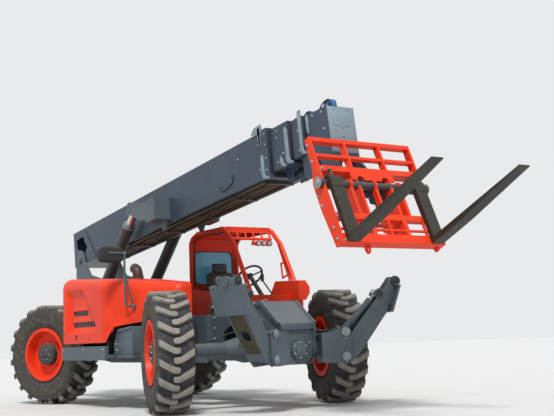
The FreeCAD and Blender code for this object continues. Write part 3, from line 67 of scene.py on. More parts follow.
# The drawing's origin is midway between the axles; the frame's is midway along the machine
ORIGIN_SHIFT_MM = -1234.425
PIVOT = (-2600.0, 2000.0)
BOOM_ANGLE = math.radians(5.9)
CARRIAGE_FOOT = (4290.0, 1600.0)
CARRIAGE_LEAN = math.radians(24.5)
OUTRIGGER_HINGE = (2733.0, 500.0, 548.0)
OUTRIGGER_SPLAY = math.radians(22.8)
OUTRIGGER_RAISED = math.radians(53.5)
SMOOTH_ANGLE = math.radians(35)
BEVEL_ANGLE = math.radians(28)
MERGE_DISTANCE = 0.00002

AHEAD = Vector((1, 0, 0))
ASTERN = Vector((-1, 0, 0))
UPWARDS = Vector((0, 0, 1))
ONTO_Y = Matrix.Rotation(-math.pi / 2, 4, "X")
MIRROR_Y = Matrix.Scale(-1, 4, Vector((0, 1, 0)))

Place = tuple[float, float, float]
Outline = Sequence[tuple[float, float]]
Colour = tuple[float, float, float, float]


class Slot(Enum):
    """The record's material slots."""

    ORANGE_PAINT = "orange_paint"
    GREY_PAINT = "grey_paint"
    BOOM_PAINT = "boom_paint"
    DARK_PAINT = "dark_paint"
    LIGHT_GREY_PAINT = "light_grey_paint"
    FORK_STEEL = "fork_steel"
    ROD_CHROME = "rod_chrome"
    TYRE_RUBBER = "tyre_rubber"
    WINDOW_GLASS = "window_glass"
    SEAT_VINYL = "seat_vinyl"
    BLACK_PLASTIC = "black_plastic"
    CAST_IRON = "cast_iron"


class Side(Enum):
    """The machine's sides, as the sign of Y."""

    LEFT = 1
    RIGHT = -1

    @property
    def outward(self) -> Vector:
        """The direction away from the machine's middle."""
        return Vector((0, self.value, 0))

    @property
    def label(self) -> str:
        """The side's name in the names of pieces and bodies."""
        return self.name.lower()


# Places


def at(x: float, y: float, z: float) -> Vector:
    """Return a place in the frame's metres from the drawing's millimetres."""
    return Vector(((x + ORIGIN_SHIFT_MM) / 1000, y / 1000, z / 1000))


def boom_at(along: float, y: float, above: float) -> Vector:
    """Return a place given in millimetres along and above the level boom."""
    cos, sin = math.cos(BOOM_ANGLE), math.sin(BOOM_ANGLE)
    return at(PIVOT[0] + along * cos - above * sin, y, PIVOT[1] + along * sin + above * cos)


def carriage_at(forward: float, y: float, up: float) -> Vector:
    """Return a place given in millimetres in the carriage's leaning plane."""
    cos, sin = math.cos(CARRIAGE_LEAN), math.sin(CARRIAGE_LEAN)
    return at(CARRIAGE_FOOT[0] + forward * cos - up * sin, y, CARRIAGE_FOOT[1] + forward * sin + up * cos)


def outrigger_at(side: Side, out: float, across: float, up: float, raised: bool = True) -> Vector:
    """Return a place at an outrigger.

    Args:
        side: which outrigger.
        out: millimetres outwards from the hinge, along the arm when raised is true.
        across: millimetres across the arm.
        up: millimetres above the arm's line, or above the hinge.
        raised: whether the place turns with the raised arm.

    Returns:
        The place in the frame's metres.
    """
    if raised:
        cos, sin = math.cos(OUTRIGGER_RAISED), math.sin(OUTRIGGER_RAISED)
        out, up = out * cos - up * sin, out * sin + up * cos
    turn = math.pi / 2 - OUTRIGGER_SPLAY
    x = out * math.cos(turn) - across * math.sin(turn)
    y = out * math.sin(turn) + across * math.cos(turn)
    return at(OUTRIGGER_HINGE[0] + x, side.value * (OUTRIGGER_HINGE[1] + y), OUTRIGGER_HINGE[2] + up)


def towards(place: Vector, direction: Vector) -> Matrix:
    """Return the matrix that puts a piece modelled along +Z at a place, pointing in a direction."""
    return Matrix.Translation(place) @ direction.to_track_quat("Z", "Y").to_matrix().to_4x4()


def studs(direction: Vector, places: Iterable[Place]) -> list[tuple[Vector, Vector]]:
    """Return places in the drawing's millimetres, each with the direction that its bolt points in."""
    return [(at(*place), direction) for place in places]


# Outlines


def corners(a0: float, b0: float, a1: float, b1: float) -> list[tuple[float, float]]:
    """Return the corners of the rectangle between two opposite ones."""
    return [(a0, b0), (a1, b0), (a1, b1), (a0, b1)]


def mirrored(half: Outline) -> list[tuple[float, float]]:
    """Return a profile of (along, radius) points continued by its mirror image."""
    return [*half, *((-along, radius) for along, radius in reversed(half))]


def oval(steps: int, half_width: float, half_height: float, power: float = 1.0) -> list[tuple[float, float]]:
    """Return a closed ring round the origin.

    Args:
        steps: how many points it has.
        half_width: half its width.
        half_height: half its height.
        power: 1 gives an ellipse; less squares the ring's corners.

    Returns:
        The ring's points.
    """
    ring = []
    for i in range(steps):
        angle = 2 * math.pi * i / steps
        cos, sin = math.cos(angle), math.sin(angle)
        ring.append((half_width * math.copysign(abs(cos) ** power, cos),
                     half_height * math.copysign(abs(sin) ** power, sin)))
    return ring


# Modelling


def deselect() -> None:
    """Leave edit mode and deselect everything."""
    if bpy.context.object is not None and bpy.context.object.mode != "OBJECT":
        bpy.ops.object.mode_set(mode="OBJECT")
    bpy.ops.object.select_all(action="DESELECT")


def only(piece: bpy.types.Object) -> None:
    """Select one piece and make it active."""
    deselect()
    piece.select_set(True)
    bpy.context.view_layer.objects.active = piece


def ring_start(name: str, ring: Sequence[Vector], filled: bool) -> bpy.types.Object:
    """Add a circle and move its points onto an outline.

    Args:
        name: the piece's name.
        ring: the outline's points in order.
        filled: whether the outline gets a face.

    Returns:
        The new object.
    """
    deselect()
    fill = "NGON" if filled else "NOTHING"
    bpy.ops.mesh.primitive_circle_add(vertices=len(ring), radius=1.0, fill_type=fill)
    piece = bpy.context.object
    piece.name = name
    piece.data.name = name
    for vertex, point in zip(piece.data.vertices, ring):
        vertex.co = point
    return piece


def close_up(piece: bpy.types.Object) -> None:
    """Merge a piece's doubles and turn its faces outwards."""
    only(piece)
    bpy.ops.object.mode_set(mode="EDIT")
    bpy.ops.mesh.select_all(action="SELECT")
    bpy.ops.mesh.remove_doubles(threshold=MERGE_DISTANCE)
    bpy.ops.mesh.normals_make_consistent(inside=False)
    bpy.ops.object.mode_set(mode="OBJECT")


def loft(name: str, rings: Sequence[Sequence[Vector]]) -> bpy.types.Object:
    """Extrude an outline through a row of rings with as many points each, closed at both ends."""
    piece = ring_start(name, rings[0], True)
    bpy.ops.object.mode_set(mode="EDIT")
    bpy.ops.mesh.select_all(action="SELECT")
    last = rings[0]
    for ring in rings[1:]:
        bpy.ops.mesh.extrude_region_move()
        mesh = bmesh.from_edit_mesh(piece.data)
        for vertex in [v for v in mesh.verts if v.select]:
            nearest = min(range(len(last)), key=lambda i: (vertex.co - last[i]).length_squared)
            vertex.co = ring[nearest]
        bmesh.update_edit_mesh(piece.data)
        last = ring
    bpy.ops.object.mode_set(mode="OBJECT")
    close_up(piece)
    return piece


def modified(piece: bpy.types.Object, kind: str, **settings: object) -> bpy.types.Object:
    """Apply a modifier of a kind with its settings, and return the piece."""
    only(piece)
    modifier = piece.modifiers.new(kind.title(), kind)
    for key, value in settings.items():
        setattr(modifier, key, value)
    bpy.ops.object.modifier_apply(modifier=modifier.name)
    return piece


def rounded(piece: bpy.types.Object, width_mm: float, segments: int = 2) -> bpy.types.Object:
    """Round a piece's edges by a width in millimetres."""
    return modified(piece, "BEVEL", width=width_mm / 1000, segments=segments, limit_method="ANGLE",
                    angle_limit=BEVEL_ANGLE, harden_normals=False)


def plate(name: str, near: Sequence[Vector], depth: Vector, edge_mm: float = 2.0) -> bpy.types.Object:
    """Extrude an outline by a depth and round its edges."""
    return rounded(loft(name, [near, [point + depth for point in near]]), edge_mm)


def side_plate(name: str, outline: Outline, y: float, thick_mm: float, edge_mm: float) -> bpy.types.Object:
    """Return a plate with an (x, z) outline that stands at a Y and is as thick towards +Y."""
    return plate(name, [at(x, y, z) for x, z in outline], Vector((0, thick_mm / 1000, 0)), edge_mm)


def section_plate(name: str, outline: Outline, y: float, thick_mm: float, edge_mm: float) -> bpy.types.Object:
    """Return a plate with an (along, above) outline beside the boom that is as thick towards +Y."""
    near = [boom_at(along, y, above) for along, above in outline]
    return plate(name, near, Vector((0, thick_mm / 1000, 0)), edge_mm)


def brick(name: str, low: Place, high: Place, edge_mm: float = 3.0, segments: int = 2) -> bpy.types.Object:
    """Return a block between two corners in the drawing's millimetres, its edges rounded."""
    near, far = at(*low), at(*high)
    rings = [[Vector((x, y, z)) for x, y in corners(near.x, near.y, far.x, far.y)] for z in (near.z, far.z)]
    return rounded(loft(name, rings), edge_mm, segments)


def turned(name: str, profile: Outline, place: Matrix, steps: int = 24) -> bpy.types.Object:
    """Spin a closed outline round an axis.

    Args:
        name: the piece's name.
        profile: points as metres along the axis and radius.
        place: puts +Z on the axis.
        steps: how many facets go round.

    Returns:
        The new object.
    """
    piece = ring_start(name, [Vector((radius, 0, along)) for along, radius in profile], False)
    bpy.ops.object.mode_set(mode="EDIT")
    bpy.ops.mesh.select_all(action="SELECT")
    bpy.ops.mesh.spin(steps=steps, angle=2 * math.pi, center=(0, 0, 0), axis=(0, 0, 1))
    bpy.ops.object.mode_set(mode="OBJECT")
    close_up(piece)
    piece.data.transform(place)
    if place.determinant() < 0:
        piece.data.flip_normals()
    return piece


def surface(name: str, columns: int, rows: int, place: Callable[[int, int], Vector]) -> bpy.types.Object:
    """Add a grid and move each of its points to where place puts its column and row."""
    deselect()
    bpy.ops.mesh.primitive_grid_add(x_subdivisions=columns, y_subdivisions=rows, size=2)
    piece = bpy.context.object
    piece.name = name
    piece.data.name = name
    for vertex in piece.data.vertices:
        column = round((vertex.co.x + 1) / 2 * columns)
        row = round((vertex.co.y + 1) / 2 * rows)
        vertex.co = place(column, row)
    return piece


def pipe(name: str, points: Sequence[Vector], radius_mm: float, fullness: int = 3) -> bpy.types.Object:
    """Return a round pipe or clipped hose along a smooth line near some points."""
    curve = bpy.data.curves.new(name, "CURVE")
    curve.dimensions = "3D"
    curve.bevel_depth = radius_mm / 1000
    curve.bevel_resolution = fullness
    curve.resolution_u = 5
    curve.use_fill_caps = True
    spline = curve.splines.new("NURBS")
    spline.points.add(len(points) - 1)
    for target, point in zip(spline.points, points):
        target.co = (*point, 1)
    spline.order_u = 3
    spline.use_endpoint_u = True
    piece = bpy.data.objects.new(name, curve)
    bpy.context.scene.collection.objects.link(piece)
    only(piece)
    bpy.ops.object.convert(target="MESH")
    return bpy.context.object


def tube(name: str, places: Iterable[Place], radius_mm: float, fullness: int = 3,
         frame: Callable[[float, float, float], Vector] = at) -> bpy.types.Object:
    """Return a pipe along places in millimetres, which frame turns into the frame's metres."""
    return pipe(name, [frame(*place) for place in places], radius_mm, fullness)


def copied(piece: bpy.types.Object, name: str, place: Matrix) -> bpy.types.Object:
    """Return a copy of a piece with its own mesh, moved by a matrix."""
    twin = piece.copy()
    twin.data = piece.data.copy()
    twin.name = name
    twin.data.name = name
    twin.data.transform(place)
    if place.determinant() < 0:
        twin.data.flip_normals()
    bpy.context.scene.collection.objects.link(twin)
    return twin


def joined(name: str, pieces: Sequence[bpy.types.Object]) -> bpy.types.Object:
    """Join pieces into the first one and name it."""
    deselect()
    for piece in pieces:
        piece.select_set(True)
    bpy.context.view_layer.objects.active = pieces[0]
    if len(pieces) > 1:
        bpy.ops.object.join()
    pieces[0].name = name
    pieces[0].data.name = name
    return pieces[0]


def repeated(name: str, blank: bpy.types.Object, places: Iterable[Matrix]) -> bpy.types.Object:
    """Join one copy of a blank for each place, and drop the blank."""
    copies = [copied(blank, f"{name}_{i}", place) for i, place in enumerate(places)]
    bpy.data.objects.remove(blank)
    return joined(name, copies)


def hex_bolt(size_mm: float) -> bpy.types.Object:
    """Return a hexagon bolt head on its washer, along +Z from the origin."""
    r = size_mm / 2000
    rings = []
    for height, radius in ((0.0, r), (0.9 * r, r), (1.15 * r, 0.8 * r)):
        rings.append([Vector((radius * math.cos(a), radius * math.sin(a), height))
                      for a in (math.pi / 3 * i for i in range(6))])
    head = loft("bolt_head", rings)
    profile = ((-0.001, 0), (-0.001, 1.35 * r), (0.22 * r, 1.35 * r), (0.3 * r, 1.2 * r), (0.3 * r, 0))
    washer = turned("washer", profile, Matrix.Identity(4), 14)
    return joined("bolt", [head, washer])


def bolts(name: str, size_mm: float, places: Sequence[tuple[Vector, Vector]]) -> bpy.types.Object:
    """Return bolts at places, each with the direction that it points in."""
    return repeated(name, hex_bolt(size_mm), [towards(place, direction) for place, direction in places])


# Materials


def linear(hex_colour: str) -> Colour:
    """Turn an sRGB hex colour into the linear values that shaders take.

    Args:
        hex_colour: six hex digits with a leading hash.

    Returns:
        Linear red, green and blue, and an alpha of one.
    """
    values = [int(hex_colour[i:i + 2], 16) / 255 for i in (1, 3, 5)]
    red, green, blue = [v / 12.92 if v <= 0.04045 else ((v + 0.055) / 1.055) ** 2.4 for v in values]
    return red, green, blue, 1.0


def fill(tree: bpy.types.NodeTree, node: bpy.types.Node, values: dict) -> None:
    """Set or link a node's inputs.

    Args:
        tree: the material's or world's nodes.
        node: one of them.
        values: a value or an output socket by the name or number of an input; other names are skipped.
    """
    inputs = {socket.name: socket for socket in reversed(node.inputs) if socket.enabled}
    for key, value in values.items():
        target = node.inputs[key] if isinstance(key, int) else inputs.get(key)
        if target is not None and isinstance(value, bpy.types.NodeSocket):
            tree.links.new(value, target)
        elif target is not None:
            target.default_value = value


def add_node(tree: bpy.types.NodeTree, kind: str, settings: dict | None = None) -> bpy.types.Node:
    """Add a node.

    Args:
        tree: the material's or world's nodes.
        kind: the node's type.
        settings: values by the name of an attribute, and values or sockets by the name or number of an input.

    Returns:
        The new node.
    """
    node = tree.nodes.new(kind)
    settings = settings or {}
    for key, value in settings.items():
        if isinstance(key, str) and hasattr(node, key):
            setattr(node, key, value)
    fill(tree, node, settings)
    return node


def out(node: bpy.types.Node) -> bpy.types.NodeSocket:
    """Return a node's first enabled output."""
    return next(socket for socket in node.outputs if socket.enabled)


def object_space(tree: bpy.types.NodeTree) -> bpy.types.NodeSocket:
    """Return the place on the object in metres."""
    return add_node(tree, "ShaderNodeTexCoord").outputs["Object"]


def noise(tree: bpy.types.NodeTree, here: bpy.types.NodeSocket, size_mm: float, detail: float,
          roughness: float = 0.5) -> bpy.types.NodeSocket:
    """Return clouds with a pattern of a size in millimetres."""
    settings = {"Scale": 1000 / size_mm, "Detail": detail, "Roughness": roughness, "Vector": here}
    return out(add_node(tree, "ShaderNodeTexNoise", settings))


def ramp(tree: bpy.types.NodeTree, value: bpy.types.NodeSocket, low: float, high: float, to_low: float = 0.0,
         to_high: float = 1.0) -> bpy.types.NodeSocket:
    """Return a value moved from one range to another."""
    settings = {"From Min": low, "From Max": high, "To Min": to_low, "To Max": to_high, "Value": value}
    return out(add_node(tree, "ShaderNodeMapRange", settings))


def maths(tree: bpy.types.NodeTree, operation: str, first: bpy.types.NodeSocket,
          second: bpy.types.NodeSocket) -> bpy.types.NodeSocket:
    """Return the result of an operation on two values."""
    return out(add_node(tree, "ShaderNodeMath", {"operation": operation, 0: first, 1: second}))


def mix(tree: bpy.types.NodeTree, factor: bpy.types.NodeSocket, first: bpy.types.NodeSocket | Colour,
        second: bpy.types.NodeSocket | Colour) -> bpy.types.NodeSocket:
    """Return two colours mixed by a factor."""
    return out(add_node(tree, "ShaderNodeMix", {"data_type": "RGBA", "A": first, "B": second,
                                                "Factor": factor}))


def bump(tree: bpy.types.NodeTree, height: bpy.types.NodeSocket, strength: float, depth_mm: float,
         normal: bpy.types.NodeSocket | None = None) -> bpy.types.NodeSocket:
    """Return the surface's direction, roughened by a height."""
    settings = {"Strength": strength, "Distance": depth_mm / 1000, "Height": height}
    if normal is not None:
        settings["Normal"] = normal
    return add_node(tree, "ShaderNodeBump", settings).outputs["Normal"]


@dataclass(frozen=True)
class Finish:
    """A surface of one real material, made once and shared."""

    name: str
    slot: Slot

    def material(self) -> bpy.types.Material:
        """Return the finish's material."""
        found = bpy.data.materials.get(self.name)
        if found is not None:
            return found
        material = bpy.data.materials.new(self.name)
        material.use_nodes = True
        self.build(material.node_tree, material.node_tree.nodes["Principled BSDF"])
        return material

    def build(self, tree: bpy.types.NodeTree, shader: bpy.types.Node) -> None:
        """Fill in the nodes; each kind of finish has its own."""
        raise NotImplementedError


@dataclass(frozen=True)
class Coating(Finish):
    """A coat, skin or casting with cloudy colour, dust on its upper faces, and worn edges with a painted
    highlight.

    The patches, specks and grain are sizes in millimetres; the dust and the edges' wear and painted highlight
    go from 0 to 1.
    """

    colour: str
    shade: str
    dust_colour: str = "#A79C8A"
    dust: float = 0.25
    # The edge colour and its amount: partly worn paint, partly a painted highlight where light catches the
    # edges
    wear_colour: str = "#9AA2A6"
    wear: float = 0.3
    roughness: float = 0.42
    metallic: float = 0.0
    coat: float = 0.0
    gloss: float = 0.5
    patch_mm: float = 420.0
    speck_mm: float = 14.0
    grain_mm: float = 9.0
    grain_depth_mm: float = 0.12
    edge_mm: float = 3.0

    def build(self, tree: bpy.types.NodeTree, shader: bpy.types.Node) -> None:
        """Mix the colour, the dust and the edges' wear and painted highlight, and give the surface its grain.
        """
        place = add_node(tree, "ShaderNodeTexCoord")
        here = place.outputs["Object"]
        cloud = noise(tree, here, self.patch_mm, 5.0)
        specks = noise(tree, here, self.speck_mm, 6.0)
        grain = noise(tree, here, self.grain_mm, 2.0)
        tint = mix(tree, ramp(tree, cloud, 0.35, 0.65), linear(self.colour), linear(self.shade))
        facing = add_node(tree, "ShaderNodeSeparateXYZ", {"Vector": place.outputs["Normal"]})
        level = ramp(tree, facing.outputs["Z"], 0.1, 1.0, 0.15 * self.dust, self.dust)
        spotted = ramp(tree, specks, 0.3, 0.7, 0.4)
        dusty = mix(tree, maths(tree, "MULTIPLY", level, spotted), tint, linear(self.dust_colour))
        soft = add_node(tree, "ShaderNodeBevel", {"samples": 4,
                                                  "Radius": self.edge_mm / 1000}).outputs["Normal"]
        true = add_node(tree, "ShaderNodeNewGeometry").outputs["Normal"]
        turn = add_node(tree, "ShaderNodeVectorMath", {"operation": "DOT_PRODUCT", 0: soft, 1: true})
        # Edges are lightened towards the paler tint, partly as wear and partly as a painted highlight
        edge_wear_and_highlight = ramp(tree, turn.outputs["Value"], 0.99, 0.8, 0.0, self.wear)
        worn_and_highlit = mix(tree, maths(tree, "MULTIPLY", edge_wear_and_highlight, spotted), dusty, linear(self.wear_colour))
        fill(tree, shader, {"Base Color": worn_and_highlit, "Metallic": self.metallic, "Coat Weight": self.coat,
                            "Roughness": ramp(tree, specks, 0.3, 0.7, self.roughness - 0.07,
                                              self.roughness + 0.1),
                            "Normal": bump(tree, grain, 0.5, self.grain_depth_mm, soft),
                            "Specular IOR Level": self.gloss, "Coat Roughness": 0.18})


@dataclass(frozen=True)
class TyreRubber(Finish):
    """Moulded tyre rubber, dark in the grooves, with dry earth on the lug tops and walls.

    It reads the tyre's own attributes: top is 1 on a lug's top and wall is 1 on a side wall.
    """

    groove: str = "#303338"
    top: str = "#908D84"
    wall: str = "#3B3935"
    earth: str = "#8A7552"
    clod_mm: float = 60.0
    grit_mm: float = 7.0
    roughness: float = 0.82

    def build(self, tree: bpy.types.NodeTree, shader: bpy.types.Node) -> None:
        """Mix groove, wall, top and earth by the attributes and by noise."""
        here = object_space(tree)
        clods = noise(tree, here, self.clod_mm, 8.0, 0.65)
        grit = noise(tree, here, self.grit_mm, 3.0)
        wall, top = (add_node(tree, "ShaderNodeAttribute", {"attribute_name": name}).outputs["Fac"]
                     for name in ("wall", "top"))
        side = mix(tree, wall, linear(self.groove), linear(self.wall))
        rubbed = maths(tree, "MULTIPLY", top, ramp(tree, clods, 0.25, 0.6, 0.5))
        topped = mix(tree, rubbed, side, linear(self.top))
        mixed = mix(tree, ramp(tree, clods, 0.5, 0.75, 0.0, 0.4), topped, linear(self.earth))
        fine = bump(tree, grit, 0.6, 1.5)
        fill(tree, shader, {"Base Color": mixed, "Normal": bump(tree, clods, 0.5, 4.0, fine),
                            "Roughness": self.roughness})


@dataclass(frozen=True)
class Polished(Finish):
    """A bright or clear smooth material with faint smears in its gloss."""

    colour: str = "#C8CBCE"
    roughness: float = 0.15
    metallic: float = 1.0
    transmission: float = 0.0
    smear_mm: float = 30.0
    dimming: float = 0.86

    def build(self, tree: bpy.types.NodeTree, shader: bpy.types.Node) -> None:
        """Set the colour and vary the gloss by noise."""
        smears = noise(tree, object_space(tree), self.smear_mm, 4.0)
        bright = linear(self.colour)
        dim = (*(value * self.dimming for value in bright[:3]), bright[3])
        fill(tree, shader, {"Base Color": mix(tree, smears, bright, dim), "Metallic": self.metallic,
                            "Roughness": ramp(tree, smears, 0.3, 0.7, self.roughness, self.roughness + 0.12),
                            "Transmission Weight": self.transmission})


# Sprayed enamel on plate, glossy and a little chalky in the sun; its paler orange edges are a painted
# highlight
ORANGE = Coating("orange_enamel", Slot.ORANGE_PAINT, "#E83C19", "#DA3415", dust=0.04, roughness=0.42,
                 coat=0.04,
                 wear=0.1, wear_colour="#F7825F", gloss=0.22)
# The same enamel in the frame's grey, with earth on its flat faces
GREY = Coating("grey_enamel", Slot.GREY_PAINT, "#505D65", "#46535B", dust=0.22, roughness=0.42, coat=0.05,
               wear=0.35, gloss=0.3, wear_colour="#8D999F")
# The boom's darker blue-grey enamel
BOOM_GREY = Coating("boom_enamel", Slot.BOOM_PAINT, "#364657", "#2E3E4E", dust=0.12, roughness=0.4, coat=0.08,
                    gloss=0.3, wear=0.45, wear_colour="#8497A1")
# Paint worn thin over dark steel, on cylinders and brackets
DARK = Coating("dark_enamel", Slot.DARK_PAINT, "#2D3034", "#383A3A", dust=0.25, roughness=0.45, wear=0.4,
               wear_colour="#6E7476")
# Lighter grey enamel on covers and brackets
LIGHT_GREY = Coating("light_grey_enamel", Slot.LIGHT_GREY_PAINT, "#7D909A", "#70838D", dust=0.2,
                     roughness=0.4,
                     coat=0.15, wear=0.3, wear_colour="#A9B6BC")
# Forged fork steel with mill scale, olive-black and dull
FORK_STEEL = Coating("forged_steel", Slot.FORK_STEEL, "#35332A", "#26251F", dust=0.12, roughness=0.5,
                     metallic=0.35,
                     wear=0.5, wear_colour="#6F6A58", grain_mm=16, grain_depth_mm=0.4)
# Sand-cast iron, grainy, with oily dust
CAST_IRON = Coating("sand_cast_iron", Slot.CAST_IRON, "#3C3B3A", "#2C2C2D", dust=0.3, roughness=0.6,
                    metallic=0.2,
                    wear=0.25, grain_mm=12, grain_depth_mm=0.5)
# Injection-moulded black plastic with a fine leather grain
PLASTIC = Coating("grained_plastic", Slot.BLACK_PLASTIC, "#1D1E20", "#26272A", dust=0.12, roughness=0.5,
                  wear=0.2,
                  wear_colour="#4A4C50", grain_mm=5)
# Embossed seat vinyl, softly shiny
VINYL = Coating("embossed_vinyl", Slot.SEAT_VINYL, "#232426", "#1B1C1E", dust=0.1, roughness=0.48, wear=0.1,
                wear_colour="#3B3C3E", grain_mm=6, grain_depth_mm=0.3, edge_mm=5)
# Rubber hose cover, matt black
HOSE = Coating("hose_rubber", Slot.BLACK_PLASTIC, "#1A1B1D", "#232427", dust=0.2, roughness=0.62, wear=0.0)
# Blue sleeve over the boom's hoses
BLUE_HOSE = Coating("blue_sleeve", Slot.BLACK_PLASTIC, "#2E6FB4", "#245C9A", dust=0.1, roughness=0.4,
                    wear=0.0)
# Yellow-passivated steel pipe, brown with road dirt
PASSIVATED = Coating("passivated_steel", Slot.CAST_IRON, "#8A6E3C", "#5A4A30", dust=0.2, roughness=0.45,
                     metallic=0.6, wear=0.3, wear_colour="#C2A868")
# Zinc-plated bolts and pins, pale and slightly dull
ZINC = Coating("zinc_steel", Slot.ROD_CHROME, "#949CA0", "#7A8388", dust=0.2, roughness=0.42, metallic=0.7,
               wear=0.2, wear_colour="#D5DADC", grain_mm=4)
# Painted shade for the outriggers' undersides: grey enamel darkened and browned as if in shade and lit from
# the ground
UNDERSIDE_SHADE = Coating("muddy_enamel", Slot.GREY_PAINT, "#4B4535", "#3B372C", dust=0.1, roughness=0.62, gloss=0.25,
              wear=0.2)
# Steel browned by exhaust heat
BURNT = Coating("burnt_steel", Slot.CAST_IRON, "#4A3632", "#33292A", dust=0.15, roughness=0.55, metallic=0.4,
                wear=0.2, wear_colour="#7A5A4A", patch_mm=90)
# Hard-chromed cylinder rod
CHROME = Polished("hard_chrome", Slot.ROD_CHROME, "#D4D7DA", 0.1)
# Safety glass coloured blue: a painted reflection of a blue sky, which the pale world doesn't give
SKY_PAINTED_GLASS = Polished("tinted_glass", Slot.WINDOW_GLASS, "#6DB4CE", 0.05, 0.0, 0.35, 90)
# Silvered mirror glass
MIRROR_GLASS = Polished("silvered_glass", Slot.ROD_CHROME, "#A9B4BC", 0.04, 1.0, 0.0, 60)
# Clear lamp lens over a bright reflector
LENS = Polished("lamp_lens", Slot.WINDOW_GLASS, "#D9DDE0", 0.08, 0.3, 0.3, 12)
# Red moulded lamp lens
RED_LENS = Polished("red_lens", Slot.WINDOW_GLASS, "#B5211B", 0.15, 0.0, 0.2, 12)
# Amber moulded lamp lens
AMBER_LENS = Polished("amber_lens", Slot.WINDOW_GLASS, "#E0862A", 0.15, 0.0, 0.2, 12)
TYRE = TyreRubber("moulded_tyre_rubber", Slot.TYRE_RUBBER)

SLOT_FINISHES: dict[Slot, Finish] = {
    Slot.ORANGE_PAINT: ORANGE, Slot.GREY_PAINT: GREY, Slot.BOOM_PAINT: BOOM_GREY, Slot.DARK_PAINT: DARK,
    Slot.LIGHT_GREY_PAINT: LIGHT_GREY, Slot.FORK_STEEL: FORK_STEEL, Slot.ROD_CHROME: CHROME,
    Slot.TYRE_RUBBER: TYRE, Slot.WINDOW_GLASS: SKY_PAINTED_GLASS, Slot.SEAT_VINYL: VINYL, Slot.BLACK_PLASTIC: PLASTIC,
    Slot.CAST_IRON: CAST_IRON,
}
# Nodes whose finish differs from their slot's; the boom's ears take the darker grey as painted shade, since
# their sides lie in shade
NODE_FINISHES: dict[str, Finish] = {"exhaust": BURNT, "boom_ear_left": GREY, "boom_ear_right": GREY}


def dress(piece: bpy.types.Object, body: str, finish: Finish, *replaced: str) -> bpy.types.Object:
    """Give a finished piece its material, body and shading.

    Args:
        piece: the piece, with its place in its mesh.
        body: the CAD body that it moves with.
        finish: its finish.
        replaced: names of the CAD nodes that it stands for.

    Returns:
        The same piece.
    """
    piece.data.materials.clear()
    piece.data.materials.append(finish.material())
    only(piece)
    bpy.ops.object.shade_smooth_by_angle(angle=SMOOTH_ANGLE)
    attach(piece, body)
    if replaced:
        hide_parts(*replaced)
    LOG.info("%s: %d faces", piece.name, len(piece.data.polygons))
    return piece


def dress_nodes(nodes: dict[str, bpy.types.Object]) -> None:
    """Give every carried-over node the material of its slot."""
    for name, node in nodes.items():
        old = node.active_material.name if node.active_material else ""
        slot = next(s for s in Slot if old.startswith(s.value))
        finish = NODE_FINISHES.get(name, SLOT_FINISHES[slot])
        node.data.materials[0] = finish.material()


